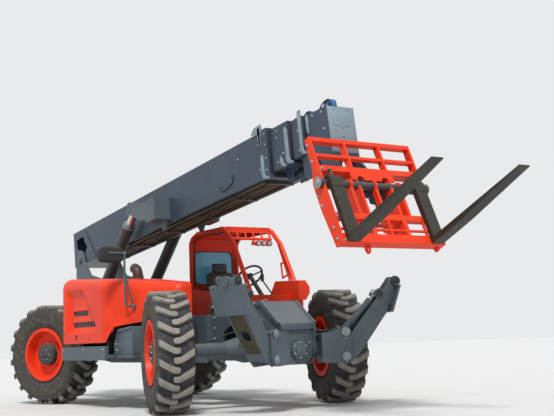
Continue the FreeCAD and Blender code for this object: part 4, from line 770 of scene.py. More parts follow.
@dataclass
class Studio:
    """The camera at the photograph's point of view, the pale surroundings and the lamps."""

    camera_place: tuple[float, float, float] = (10.2566, -6.082, 0.763)
    yaw: float = 146.5
    pitch: float = 7.329
    roll: float = -2.047
    focal_pixels: float = 1010.78
    photo_width: int = 554
    sensor_mm: float = 36.0
    far_clip: float = 200.0
    floor_colours: tuple[str, str] = ("#DCDCDA", "#CFCFCD")
    floor_step: float = 30.0
    mottle_mm: float = 1000 / 1.5
    seen_sky: str = "#E9EAEB"
    lit_sky: str = "#F4F7FA"
    sky_strength: float = 0.66
    sun_strength: float = 2.7
    sun_width: float = math.radians(12)
    sun_from: tuple[float, float, float] = (0.6, -0.42, 0.95)

    def camera(self) -> None:
        """Place the camera."""
        yaw, pitch, roll = (math.radians(v) for v in (self.yaw, self.pitch, self.roll))
        forward = Vector((math.cos(yaw) * math.cos(pitch), math.sin(yaw) * math.cos(pitch), math.sin(pitch)))
        level = Vector((math.sin(yaw), -math.cos(yaw), 0))
        upright = level.cross(forward)
        right = math.cos(roll) * level + math.sin(roll) * upright
        up = -math.sin(roll) * level + math.cos(roll) * upright
        data = bpy.data.cameras.new("camera")
        data.sensor_width = self.sensor_mm
        data.lens = self.focal_pixels / self.photo_width * self.sensor_mm
        data.clip_end = self.far_clip
        camera = bpy.data.objects.new("camera", data)
        rotation = Matrix((right, up, -forward)).transposed().to_4x4()
        camera.matrix_world = Matrix.Translation(self.camera_place) @ rotation
        bpy.context.scene.collection.objects.link(camera)
        bpy.context.scene.camera = camera

    def floor(self) -> None:
        """Lay a pale, slightly mottled floor."""
        step = self.floor_step
        floor = surface("floor", 4, 4, lambda i, j: Vector(((i - 2) * step, (j - 2) * step, 0.0)))
        material = bpy.data.materials.new("pale_concrete")
        material.use_nodes = True
        tree = material.node_tree
        mottle = noise(tree, object_space(tree), self.mottle_mm, 6.0)
        tint = mix(tree, mottle, *(linear(colour) for colour in self.floor_colours))
        fill(tree, tree.nodes["Principled BSDF"], {"Base Color": tint, "Roughness": 0.9})
        floor.data.materials.append(material)

    def sky(self) -> None:
        """Light the object from a grey sky that the camera, glass and metal see as pale."""
        world = bpy.data.worlds.new("pale_sky")
        bpy.context.scene.world = world
        world.use_nodes = True
        tree = world.node_tree
        tree.nodes.clear()
        seen = add_node(tree, "ShaderNodeBackground", {"Color": linear(self.seen_sky), "Strength": 1.0})
        lit = add_node(tree, "ShaderNodeBackground", {"Color": linear(self.lit_sky),
                                                      "Strength": self.sky_strength})
        ray = add_node(tree, "ShaderNodeLightPath").outputs
        either = maths(tree, "MAXIMUM", ray["Is Camera Ray"], ray["Is Glossy Ray"])
        any_view = maths(tree, "MAXIMUM", either, ray["Is Transmission Ray"])
        shown = add_node(tree, "ShaderNodeMixShader", {0: any_view, 1: out(lit), 2: out(seen)})
        add_node(tree, "ShaderNodeOutputWorld", {"Surface": out(shown)})

    def lamps(self) -> None:
        """Hang one broad sun overhead, ahead and to the right."""
        sun = bpy.data.objects.new("sun", bpy.data.lights.new("sun", "SUN"))
        sun.data.energy = self.sun_strength
        sun.data.angle = self.sun_width
        sun.rotation_euler = Vector(self.sun_from).to_track_quat("Z", "Y").to_euler()
        bpy.context.scene.collection.objects.link(sun)

    def build(self) -> None:
        """Set everything up round the object."""
        bpy.context.scene.view_settings.view_transform = "Standard"
        self.camera()
        self.floor()
        self.sky()
        self.lamps()


@dataclass
class Wheels:
    """The four tyres with their bent lugs, and the nuts and caps of their hubs.

    The axle and kingpin are in the drawing's millimetres, the steering in degrees and the rest in metres.
    """

    radius: float = 0.655
    lugs_per_row: int = 20
    steps: int = 80
    axle_x: float = 1750.0
    kingpin_y: float = 850.0
    offset: float = 0.230
    steer_front: float = -17.5
    steer_rear: float = 23.9
    # How many nuts a circle has, its radius and how far out it lies
    nut_circles: tuple[tuple[int, float, float], ...] = ((10, 0.1635, 0.070), (6, 0.07, 0.172))
    cap_profile: Outline = ((0.160, 0.0), (0.160, 0.058), (0.182, 0.054), (0.190, 0.040), (0.190, 0.018),
                            (0.198, 0.016), (0.200, 0.0))
    case_profile: Outline = ((0.0805, 0.0), (0.0805, 0.1525), (0.086, 0.1525), (0.1515, 0.1425),
                             (0.1695, 0.102),
                             (0.174, 0.040), (0.174, 0.0))

    def place(self, x: float, side: Side, steer: float) -> Matrix:
        """Return the matrix that puts a wheel piece modelled about Y at its wheel, unmirrored."""
        hinge = Matrix.Translation(at(x, side.value * self.kingpin_y, 0))
        hinge = hinge @ Matrix.Rotation(math.radians(steer), 4, "Z")
        return hinge @ Matrix.Translation((0, side.value * self.offset, self.radius))

    def carcass(self) -> bpy.types.Object:
        """Spin the tyre's section round its axle."""
        half = [(0.158, 0.325), (0.166, 0.349), (0.180, 0.385), (0.1905, 0.410), (0.1945, 0.414),
                (0.1965, 0.424),
                (0.1955, 0.430), (0.2045, 0.470), (0.2045, 0.505), (0.2025, 0.530), (0.2045, 0.534),
                (0.2035, 0.544),
                (0.1985, 0.548), (0.194, 0.572), (0.183, 0.597), (0.166, 0.606), (0.09, 0.6075), (0.0, 0.608)]
        section = half + [(-along, radius) for along, radius in reversed(half[:-1])]
        return turned("tyre_carcass", section, ONTO_Y, self.steps)

    def lug(self) -> bpy.types.Object:
        """Return one bent lug with a rounded inner end, at angle 0 on the row of negative Y."""
        sections = ((0.035, 0.060, 0.017, 0.590, 0.650), (0.029, 0.061, 0.030, 0.590, 0.654),
                    (0.008, 0.061, 0.036, 0.590, 0.655), (-0.030, 0.058, 0.036, 0.590, 0.655),
                    (-0.062, 0.044, 0.037, 0.590, 0.655), (-0.120, 0.009, 0.039, 0.590, 0.655),
                    (-0.174, -0.023, 0.040, 0.588, 0.655), (-0.183, -0.030, 0.040, 0.575, 0.639),
                    (-0.191, -0.036, 0.039, 0.560, 0.618), (-0.197, -0.040, 0.036, 0.540, 0.575))
        rings = []
        for y, shift, half_width, low, top in sections:
            middle = -(shift + 0.025) / self.radius
            ring = []
            for sign, radius, spread in ((-1, low, 1.08), (1, low, 1.08), (1, top, 0.86), (-1, top, 0.86)):
                angle = middle + sign * spread * half_width / self.radius
                ring.append(Vector((radius * math.cos(angle), y, radius * math.sin(angle))))
            rings.append(ring)
        return rounded(loft("tyre_lug", rings), 4.5)

    def tyre(self) -> bpy.types.Object:
        """Return the whole tyre about the origin with the attributes that its rubber reads."""
        pitch = 2 * math.pi / self.lugs_per_row
        places = []
        for mirror, start in ((Matrix.Identity(4), -math.pi / 2), (MIRROR_Y, (pitch - math.pi) / 2)):
            places += [Matrix.Rotation(-(start + pitch * i), 4, "Y") @ mirror
                       for i in range(self.lugs_per_row)]
        tread = repeated("tread", self.lug(), places)
        tyre = joined("tyre_blank", [self.carcass(), tread])
        radii = [math.hypot(vertex.co.x, vertex.co.z) for vertex in tyre.data.vertices]
        sides = [abs(vertex.co.y) for vertex in tyre.data.vertices]
        blend = 0.03
        for name, reaches, first in (("top", radii, 0.615), ("wall", sides, 0.165)):
            row = [min(1.0, max(0.0, (reach - first) / blend)) for reach in reaches]
            tyre.data.attributes.new(name, "FLOAT", "POINT")
            tyre.data.attributes[name].data.foreach_set("value", row)
        return tyre

    def trim(self) -> bpy.types.Object:
        """Return the wheel nuts of a hub, with the outer side towards +Y."""
        places = []
        for count, radius, reach in self.nut_circles:
            places += [Matrix.Translation((x, reach, z)) @ ONTO_Y for x, z in oval(count, radius, radius)]
        return repeated("wheel_nuts", hex_bolt(17), places)

    def cap(self) -> bpy.types.Object:
        """Return the hub's domed cap with its plug."""
        parts = [turned("hub_part", profile, ONTO_Y, 32) for profile in (self.cap_profile, self.case_profile)]
        return joined("hub_cap", parts)

    def build(self) -> None:
        """Model each blank once and place it at the four wheels."""
        tyre, nuts, cap = self.tyre(), self.trim(), self.cap()
        for end, x, steer in (("front", self.axle_x, self.steer_front),
                              ("rear", -self.axle_x, self.steer_rear)):
            for side in Side:
                where = f"{end}_{side.label}"
                place = self.place(x, side, steer)
                flipped = place @ MIRROR_Y if side is Side.RIGHT else place
                turn = place @ Matrix.Rotation(math.pi, 4, "Z") if side is Side.RIGHT else place
                body = f"wheel_{where}"
                dress(copied(tyre, f"dressed_tyre_{where}", flipped), body, TYRE, f"tyre_{where}")
                dress(copied(nuts, f"wheel_nuts_{where}", turn), body, ZINC)
                dress(copied(cap, f"hub_cap_{where}", turn), body, CAST_IRON)
        for blank in (tyre, nuts, cap):
            bpy.data.objects.remove(blank)


@dataclass
class Hood:
    """The engine hood, a rounded shell with its sunk vent panel, grille and latch. Sizes in millimetres."""

    rear: float = -930.0
    shoulder: float = 400.0
    front: float = 1230.0
    inner: float = -506.0
    outer: float = -1230.0
    front_outer: float = -690.0
    tops: tuple[float, float, float] = (1610.0, 1530.0, 1440.0)
    bottoms: tuple[float, float, float, float] = (780.0, 965.0, 1000.0, 1100.0)
    corner: float = 130.0
    end_round: float = 60.0
    bend: float = 130.0
    bottom_marks: tuple[float, float, float] = (390.0, 510.0, 800.0)
    wall: float = 10.0
    vents: tuple[tuple[float, float, float, float], ...] = ((-650.0, -190.0, 1120.0, 1180.0),
                                                          (-650.0, 30.0, 980.0, 1040.0))

    def line(self, x: float) -> tuple[float, float, float]:
        """Return the hood's outer Y, top and bottom at an X."""
        if x < self.shoulder:
            t = (x - self.rear) / (self.shoulder - self.rear)
            top = self.tops[0] + (self.tops[1] - self.tops[0]) * t
        else:
            t = (x - self.shoulder) / (self.front - self.shoulder)
            top = self.tops[1] + (self.tops[2] - self.tops[1]) * t
        # The nose turns in along a soft curve round the shoulder
        run = max(0.0, x - self.shoulder)
        if abs(x - self.shoulder) < self.bend:
            run = (x - self.shoulder + self.bend) ** 2 / (4 * self.bend)
        outer = self.outer + (self.front_outer - self.outer) * run / (self.front - self.shoulder)
        marks = (*self.bottom_marks, self.front)
        bottom = self.bottoms[0]
        for (x0, z0), (x1, z1) in zip(zip(marks, self.bottoms), zip(marks[1:], self.bottoms[1:])):
            if x > x0:
                bottom = z0 + (z1 - z0) * min(1.0, (x - x0) / (x1 - x0))
        return outer, top, bottom

    def sunk(self, x: float, z: float) -> float:
        """Return how deep the vent panel and the creases lie at a place on the side."""
        right = -282.0 + (1488.0 - z) * 0.86
        inside = min((x + 780.0) / 45, (right - x) / 50, (z - 900.0) / 45, (1440.0 - z) / 60)
        panel = 50.0 * max(0.0, min(1.0, inside))
        lips = sum(math.exp(-((z - 15.0 - z1) / 14.0) ** 2) * (x0 - 40 < x < x1 + 40)
                   for x0, x1, _, z1 in self.vents)
        panel -= 12.0 * lips
        sweep = (x - 350.0) - (z - 800.0) * 0.78
        crease = 20.0 * math.exp(-(sweep / 70.0) ** 2) * max(0.0, min(1.0, (1400.0 - z) / 150))
        return panel + crease

    def stations(self) -> list[tuple[float, float, float]]:
        """Return each ring's X, its inset and how far it is drawn in to the inner lower corner."""
        steps = 5
        curve = []
        for i in range(steps + 1):
            angle = math.pi / 2 * i / steps
            curve.append((self.end_round * (1 - math.cos(angle)), self.end_round * (1 - math.sin(angle))))
        rows = [(self.rear, self.end_round, 0.0)]
        rows += [(self.rear + reach, inset, 1.0) for reach, inset in curve]
        rows += [(x, 0.0, 1.0) for x in range(-850, 1151, 20)]
        rows += [(self.front - reach, inset, 1.0) for reach, inset in reversed(curve)]
        return rows + [(self.front, self.end_round, 0.0)]

    def profile(self, x: float, inset: float) -> list[tuple[float, float]]:
        """Return the hood's (y, z) line from its inner top edge to its outer lower edge."""
        outer, top, bottom = self.line(min(max(x, self.rear), self.front))
        outer, top = outer + inset, top - inset
        corner = min(self.corner, (self.inner - outer) * 0.6)
        points = [(self.inner + (outer + corner - self.inner) * i / 6, top) for i in range(6)]
        for i in range(9):
            angle = math.pi / 2 * i / 8
            points.append((outer + corner - corner * math.sin(angle),
                           top - corner + corner * math.cos(angle)))
        high = top - corner
        for z in range(1380, 880, -20):
            points.append((outer + self.sunk(x, z) if self.rear + 60 < x < 600 else outer, min(z, high - 5)))
        low = points[-1][1]
        points += [(outer, low + (bottom - low) * i / 4) for i in range(1, 5)]
        # Where the nose's lower edge rises, the rows below it close up against it
        return [(y, max(z, bottom + (len(points) - 1 - i) * 0.4)) for i, (y, z) in enumerate(points)]

    def shell(self) -> bpy.types.Object:
        """Return the hood's skin with its slots cut and its wall given thickness."""
        rows = self.stations()
        lines = [self.profile(x, inset) for x, inset, _ in rows]

        def place(column: int, row: int) -> Vector:
            """Return a point of the skin."""
            x, _, drawn = rows[column]
            y, z = lines[column][row]
            bottom = lines[column][-1][1]
            return at(x, self.inner + (y - self.inner) * drawn, bottom + (z - bottom) * drawn)

        shell = surface("hood_shell", len(rows) - 1, len(lines[0]) - 1, place)
        bpy.ops.object.mode_set(mode="EDIT")
        bpy.ops.mesh.select_all(action="DESELECT")
        mesh = bmesh.from_edit_mesh(shell.data)
        for face in mesh.faces:
            middle = face.calc_center_median()
            x, y, z = middle.x * 1000 - ORIGIN_SHIFT_MM, middle.y * 1000, middle.z * 1000
            face.select = y < -1100 and any(x0 < x < x1 and z0 < z < z1 for x0, x1, z0, z1 in self.vents)
        bmesh.update_edit_mesh(shell.data)
        bpy.ops.mesh.delete(type="FACE")
        bpy.ops.object.mode_set(mode="OBJECT")
        close_up(shell)
        if max(shell.data.polygons, key=lambda face: face.center.z).normal.z < 0:
            shell.data.flip_normals()
        return modified(shell, "SOLIDIFY", thickness=self.wall / 1000, offset=-1.0)

    def grille(self) -> bpy.types.Object:
        """Return the dark slats behind the vent slots."""
        y = self.outer + 60
        slats = [brick("vent_back", (x0 - 25, y, z0 - 20), (x1 + 25, y + 6, z1 + 20), 1)
                 for x0, x1, z0, z1 in self.vents]
        return joined("hood_grille", slats)

    def latch(self) -> bpy.types.Object:
        """Return the oval latch on the side with its key."""
        ring = [at(-450 + x, self.outer - 1, 860 + z) for x, z in oval(24, 14, 34)]
        pieces = [plate("hood_latch", ring, Vector((0, -0.006, 0)), 2),
                  brick("latch_key", (-455, self.outer - 12, 840), (-445, self.outer - 2, 880), 2)]
        return joined("hood_latch", pieces)

    def build(self) -> None:
        """Model and dress the hood."""
        dress(self.shell(), "hood", ORANGE, "hood")
        dress(self.grille(), "hood", PLASTIC)
        dress(self.latch(), "hood", PLASTIC)


@dataclass
class SideBox:
    """The chamfered grey box under the hood's nose, with its bolts. Sizes in millimetres."""

    rear: float = 432.0
    front: float = 898.0
    outer: float = -1120.0
    base: float = 641.0
    depth: float = 540.0
    lip_depth: float = 16.0
    lip_step: float = 12.0

    def build(self) -> None:
        """Model and dress the box and its bolts."""
        rear, front, base = self.rear, self.front, self.base
        side = ((rear, base), (rear, 775), (rear + 105, 925), (front, 955), (front, base))
        lip = ((rear - 4, base), (rear - 4, 778), (rear + 100, 930), (front, 960), (front, 930),
               (rear + 118, 900),
               (rear + 26, 765), (rear + 26, base))
        box = side_plate("side_box_shell", side, self.outer + self.lip_step, self.depth, 8)
        rim = side_plate("side_box_lip", lip, self.outer, self.lip_depth, 3)
        dress(joined("dressed_side_box", [box, rim]), "chassis", GREY, "side_box")
        places = studs(Side.RIGHT.outward, ((480, self.outer + 11, z) for z in (690, 760)))
        dress(bolts("side_box_bolts", 20, places), "chassis", ZINC)


@dataclass
class RightMirror:
    """The mirror on its tube frame. Sizes in millimetres."""

    x: float = 760.0
    head: tuple[float, float, float, float] = (-1450.0, -1130.0, 1690.0, 1885.0)
    squareness: float = 0.45

    def housing(self) -> bpy.types.Object:
        """Return the rounded housing, hollowed round its glass at the rear."""
        y0, y1, z0, z1 = self.head
        rings = []
        for back, inset in ((54, 10.0), (44, 2.0), (20, 0.0), (6, 16.0), (1, 40.0)):
            shape = oval(32, (y1 - y0) / 2 - inset, (z1 - z0) / 2 - inset * 0.8, self.squareness)
            rings.append([at(self.x - back, (y0 + y1) / 2 + y, (z0 + z1) / 2 + z) for y, z in shape])
        return rounded(loft("mirror_housing", rings), 2)

    def build(self) -> None:
        """Model and dress the mirror."""
        x = self.x
        y0, y1, z0, z1 = self.head
        line = ((x, -1320, 1802), (x, -1150, 1803), (x, -1122, 1798), (x, -1125, 1760), (x, -1125, 1300),
                (x, -1120, 1215), (x, -1085, 1188), (x, -1000, 1186))
        frame = [tube("mirror_tube", line, 13),
                 tube("mirror_brace", ((x, -1124, 1560), (x, -1075, 1390), (x, -1018, 1205)), 10),
                 brick("mirror_foot", (x - 16, -1030, 1150), (x + 16, -1000, 1216), 4),
                 brick("mirror_clamp", (x - 16, -1142, 1775), (x + 18, -1108, 1822), 5)]
        dress(joined("mirror_frame", frame), "hood", GREY)
        dress(self.housing(), "hood", PLASTIC, "mirror")
        glass = brick("mirror_glass", (x - 57, y0 + 22, z0 + 20), (x - 53, y1 - 22, z1 - 20), 2)
        dress(glass, "hood", MIRROR_GLASS)
        knuckles = studs(AHEAD, ((x + 18, -1125, 1800), (x + 12, -1015, 1196)))
        dress(bolts("mirror_bolts", 20, knuckles), "hood", ZINC)


@dataclass
class ExhaustPipe:
    """The exhaust elbow with its slanted mouth and clamp. Sizes in millimetres."""

    x: float = 120.0
    y: float = -650.0
    top: float = 1592.0
    radius: float = 62.0
    bend: float = 88.0
    turn: float = math.radians(75)
    steps: int = 8
    facets: int = 28

    def ring(self, centre: Vector, along: Vector, radius: float) -> list[Vector]:
        """Return a ring of points round a centre, square to a direction in the plane of X and Z."""
        across = Vector((0, 1, 0))
        upward = along.cross(across).normalized()
        return [centre + across * (radius / 1000 * math.cos(a)) + upward * (radius / 1000 * math.sin(a))
                for a in (2 * math.pi * i / self.facets for i in range(self.facets))]

    def elbow(self) -> bpy.types.Object:
        """Return the bent pipe, open and dark inside its mouth."""
        rings = [self.ring(at(self.x, self.y, z), UPWARDS, self.radius) for z in (1500, 1560, self.top)]
        for i in range(1, self.steps + 1):
            angle = self.turn * i / self.steps
            along = Vector((-math.sin(angle), 0, math.cos(angle)))
            centre = at(self.x - self.bend * (1 - math.cos(angle)), self.y,
                        self.top + self.bend * math.sin(angle))
            rings.append(self.ring(centre, along, self.radius))
        mouth = centre + along * 0.03
        rings += [self.ring(mouth, along, self.radius + more) for more in (1, -5)]
        rings += [self.ring(mouth - along * back, along, self.radius - 6) for back in (0.03, 0.06, 0.09)]
        return loft("exhaust_elbow", rings)

    def build(self) -> None:
        """Model and dress the elbow, its clamp and its collar."""
        pieces = [self.elbow()]
        for name, z, profile in (
                ("exhaust_clamp", 1568, ((0, 0.063), (0, 0.070), (0.022, 0.070), (0.022, 0.063))),
                ("exhaust_collar", 1530, ((0, 0.060), (0, 0.082), (0.020, 0.082), (0.036, 0.066),
                                          (0.036, 0.060)))):
            pieces.append(turned(name, profile, Matrix.Translation(at(self.x, self.y, z)), self.facets))
        dress(joined("dressed_exhaust", pieces), "hood", BURNT, "exhaust")


@dataclass
class BoomTrim:
    """Straps, blue sheaves, hoses, pipes and bolts on the boom's sections. Sizes in millimetres."""

    half_width: float = 245.0
    front: float = 5200.0
    bottom: float = -50.0
    top: float = 470.0
    nose: float = 6190.0
    bodies: tuple[str, ...] = ("boom", "section_2", "section_3", "section_4")
    hook: Outline = ((4890, 478), (4960, 546), (5098, 556), (5106, 500), (5080, 470), (5080, 330),
                     (5062, 305),
                     (5044, 330), (5034, 440), (4960, 472))
    bolt_places: tuple[Outline, ...] = (
        ((5010, 60), (5010, 340), (5160, 20), (5160, 150), (5160, 300), (5160, 420), (4560, 300),
         (5100, 430)),
        ((5330, 60), (5330, 330), (5440, 130), (5500, 40), (5500, 200), (5500, 380), (5340, 400)),
        ((5700, 90), (5700, 300), (5730, 410)),
        ((5900, 160), (5940, 390), (6100, 380), (6120, 200)))
    pivot_cap: Outline = ((0, 0), (0, 0.062), (0.006, 0.066), (0.012, 0.060), (0.014, 0.030), (0.018, 0.026),
                          (0.020, 0))

    def edges(self, step: int) -> tuple[float, float, float]:
        """Return a section's half width, bottom and top."""
        return self.half_width - 25 * step, self.bottom + 38 * step, self.top - 15 * step

    def strap(self, step: int, along: float, width: float, proud: float, low: float, high: float,
              hook: float) -> list[bpy.types.Object]:
        """Return a section's pair of straps with rounded ends.

        Args:
            step: the section's number, from 0.
            along: the strap's middle along the boom.
            width: its width.
            proud: how far it stands off the section's side.
            low: its lower end.
            high: its upper end.
            hook: how far its lower end sweeps forwards.

        Returns:
            The left and right straps.
        """
        half = self.edges(step)[0]
        w = width / 2 + 2
        outline = ((along - w * 0.4, high + 2), (along + w * 0.4, high + 2), (along + w, high - 30),
                   (along + w, low + 80), (along + w + hook * 0.25, low + 40), (along + w + hook, low + 12),
                   (along + w + hook, low - 2), (along + w * 0.6 + hook * 0.5, low - 2), (along, low + 14),
                   (along - w, low + 60), (along - w, high - 30))
        return [section_plate("strap", outline, side.value * (half + 1), side.value * (proud + 2), 4)
                for side in Side]

    def straps(self) -> None:
        """Dress each section's straps in the lighter paint."""
        front = self.front
        low1, low2, low3 = (self.edges(step)[1] for step in (1, 2, 3))
        rows = ((0, front - 125, 60, 12, self.bottom - 22, 212, 90),
                (0, front - 150, 50, 12, 318, self.top + 62, 0),
                (1, front + 200, 50, 10, low1 - 2, 107, 55), (1, front + 320, 55, 12, low1 - 2, 397, 70),
                (2, front + 550, 50, 12, low2 - 2, 502, 60), (3, front + 650, 40, 10, low3 + 158, 427, 0))
        pieces = [section_plate("hook_plate", self.hook, side.value * (self.half_width + 1), side.value * 14,
                                4)
                  for side in Side]
        for step, body in enumerate(self.bodies):
            for row in rows:
                if row[0] == step:
                    pieces += self.strap(*row)
            dress(joined(f"straps_{step + 1}", pieces), body, LIGHT_GREY)
            pieces = []

    def bolt_rows(self) -> None:
        """Put zinc bolts beside the mouths and straps of each section."""
        strap_start, strap_thickness = 5105, 14
        for step, places in enumerate(self.bolt_places):
            half = self.edges(step)[0] + (0 if step else strap_thickness)
            spots = []
            for side in Side:
                for along, above in places:
                    near = half if step or along > strap_start else self.half_width
                    spots.append((boom_at(along, side.value * near, above), side.outward))
            dress(bolts(f"boom_bolts_{step + 1}", 22, spots), self.bodies[step], ZINC)

    def mouths(self) -> None:
        """Put black slide pads and wiper seams at each section's mouth."""
        for step, front in enumerate((self.front, self.front + 360, self.front + 590)):
            half, bottom, _ = self.edges(step)
            inner_half, inner_bottom, inner_top = self.edges(step + 1)
            shapes = [corners(side.value * (inner_half + 3), inner_bottom + 20, side.value * (half - 4),
                              inner_top - 20)
                      for side in Side]
            shapes.append(corners(-half + 30, bottom + 3, half - 30, inner_bottom - 3))
            forward = boom_at(front + 13, 0, 0) - boom_at(front, 0, 0)
            pads = [plate("slide_pad", [boom_at(front + 1, y, above) for y, above in shape], forward, 2)
                    for shape in shapes]
            seam = corners(front + 15, inner_bottom + 6, front + 27, inner_top - 6)
            pads += [section_plate("wiper_seam", seam, side.value * (inner_half + 1), side.value * 2, 0.8)
                     for side in Side]
            dress(joined(f"slide_pads_{step + 1}", pads), self.bodies[step], PLASTIC)

    def sheaves(self) -> None:
        """Put a blue nylon face on each hose sheave, its pin and the hoses over it."""
        pin = mirrored(((-0.046, 0), (-0.046, 0.017), (-0.040, 0.020)))
        for step, along, radius in ((1, self.front + 260, 45), (2, self.front + 490, 55),
                                    (3, self.front + 830, 75)):
            body, top = self.bodies[step], self.edges(step)[2]
            above = top + 0.75 * radius
            r = radius / 1000
            place = Matrix.Translation(boom_at(along, 0, above)) @ Matrix.Rotation(math.pi / 2, 4, "X")
            face = mirrored(((-0.027, 0.016), (-0.027, r), (-0.019, r + 0.0006), (-0.008, r + 0.0004)))
            dress(turned(f"sheave_{step + 1}", face, place, 32), body, BLUE_HOSE)
            dress(turned(f"sheave_pin_{step + 1}", pin, place, 18), body, ZINC)
            reach = radius - 14
            line = ((reach, above - 0.6 * radius), (reach, above + 0.3 * radius),
                    (0.75 * reach, above + 0.95 * reach),
                    (0, above + 1.12 * reach), (-1.2 * reach, above + 0.8 * reach), (-2.2 * reach, above + 4),
                    (-3.2 * reach, top + 14))
            hoses = [tube("sheave_hose", [(along + step_on, y, height) for step_on, height in line], 7.5, 2,
                          boom_at)
                     for y in (-36, 36)]
            dress(joined(f"sheave_hoses_{step + 1}", hoses), body, HOSE)

    def under_pipes(self) -> None:
        """Run steel pipes and hoses along the boom's underside in clamps."""
        rows = {-168: "pipe", -120: "hose", -40: "pipe", 40: "pipe", 120: "hose", 168: "pipe"}
        runs = {"pipe": [], "hose": []}
        for y, kind in rows.items():
            line = [(along, y, self.bottom - 15) for along in (560, 600, 1700, 2900, 4100, 4980)]
            runs[kind].append(tube("under_pipe", line, 11, 3, boom_at))
        clamps = []
        for along in (650, 1500, 2400, 3300, 4200, 4950):
            shape = corners(along, self.bottom - 30, along + 45, self.bottom + 1)
            clamps.append(section_plate("pipe_clamp", shape, -190, 380, 4))
        dress(joined("under_pipes", runs["pipe"]), "boom", PASSIVATED)
        dress(joined("under_hoses", runs["hose"]), "boom", HOSE)
        dress(joined("pipe_clamps", clamps), "boom", DARK)

    def side_cable(self) -> None:
        """Clip a thin cable to the boom's right side, and cap its pivot."""
        y = -self.half_width - 6
        line = ((4120, y, 96), (4130, y, 40), (4200, y, 22), (4340, y, 40), (4420, y, 72), (4440, y, 150))
        dress(tube("side_cable", line, 5, 2, boom_at), "boom", HOSE)
        caps = [turned("pivot_cap", self.pivot_cap, towards(boom_at(0, side.value * 256, 0), side.outward),
                       32)
                for side in Side]
        dress(joined("pivot_caps", caps), "boom", DARK)

    def nose_at(self, y: float, above: float, proud: float) -> Vector:
        """Return a place that stands proud of the nose's leaning front plate."""
        return boom_at(self.nose + proud + 22 * (self.top - 45 - above) / 545, y, above)

    def nose_cover(self) -> None:
        """Put the screwed cover on the nose's front plate, over a light grey sheet that makes the whole front
        face lighter than the boom's sides.
        """
        along = boom_at(1, 0, 0) - boom_at(0, 0, 0)
        square = boom_at(1, 0, 0.04) - boom_at(0, 0, 0)
        spots = [(self.nose_at(y, above, 3), square) for y, above in ((-80, 395), (80, 395), (0, 205),
                                                                      (0, 110))]
        dress(bolts("nose_bolts", 18, spots), "section_4", ZINC)
        outline = [self.nose_at(y, 300 + up, 2) for y, up in oval(40, 115, 88, 0.4)]
        front = [self.nose_at(y, above, -1) for y, above in corners(-166, 421, 166, -60)]
        covers = [plate("nose_cover", outline, along * 4, 2), plate("nose_sheet", front, along * 3, 2)]
        dress(joined("nose_cover", covers), "section_4", LIGHT_GREY)

    def build(self) -> None:
        """Model and dress all of the boom's trim."""
        self.straps()
        self.bolt_rows()
        self.mouths()
        self.sheaves()
        self.under_pipes()
        self.side_cable()
        self.nose_cover()


@dataclass
class CarriageTrim:
    """Fork locks, shaft nuts and bolts of the fork carriage. Sizes in millimetres."""

    half_width: float = 620.0
    shaft: tuple[float, float] = (-30.0, 645.0)
    fork_y: float = 505.0
    side_bolts: Outline = ((-120, 450), (-120, 560), (-55, 60), (-55, 180), (-55, 900), (-55, 1080))
    shaft_cap: Outline = ((-0.004, 0), (-0.004, 0.054), (0.002, 0.056), (0.006, 0.050), (0.006, 0.030),
                          (0.014, 0.026), (0.014, 0))
    lock: Outline = ((0, 0), (0, 0.016), (0.03, 0.016), (0.036, 0.011), (0.055, 0.011), (0.060, 0.020),
                     (0.074, 0.020), (0.078, 0.012), (0.078, 0))

    def build(self) -> None:
        """Model and dress the carriage's small parts."""
        forward = carriage_at(1, 0, 0) - carriage_at(0, 0, 0)
        spots, caps, locks, pads = [], [], [], []
        for side in Side:
            y = side.value * self.half_width
            spots += [(carriage_at(ahead, y, up), side.outward) for ahead, up in self.side_bolts]
            end = carriage_at(self.shaft[0], side.value * 660, self.shaft[1])
            caps.append(turned("shaft_cap", self.shaft_cap, towards(end, side.outward), 28))
        spots += [(carriage_at(0, y, up), forward) for y in (-580, 580) for up in (22, 275, 792)]
        dress(bolts("carriage_bolts", 24, spots), "carriage", ZINC)
        dress(joined("shaft_caps", caps), "carriage", ZINC)
        for side in Side:
            y = side.value * self.fork_y
            place = Matrix.Translation(carriage_at(12, y, 705)) @ Matrix.Rotation(-CARRIAGE_LEAN, 4, "Y")
            locks.append(turned("fork_lock", self.lock, place, 18))
            near = [carriage_at(59, y + across, up) for across, up in corners(-52, 560, 52, 600)]
            pads.append(plate("fork_shank_pad", near, forward * 4, 1))
        dress(joined("fork_locks", locks), "carriage", DARK)
        dress(joined("fork_shank_pads", pads), "carriage", FORK_STEEL)


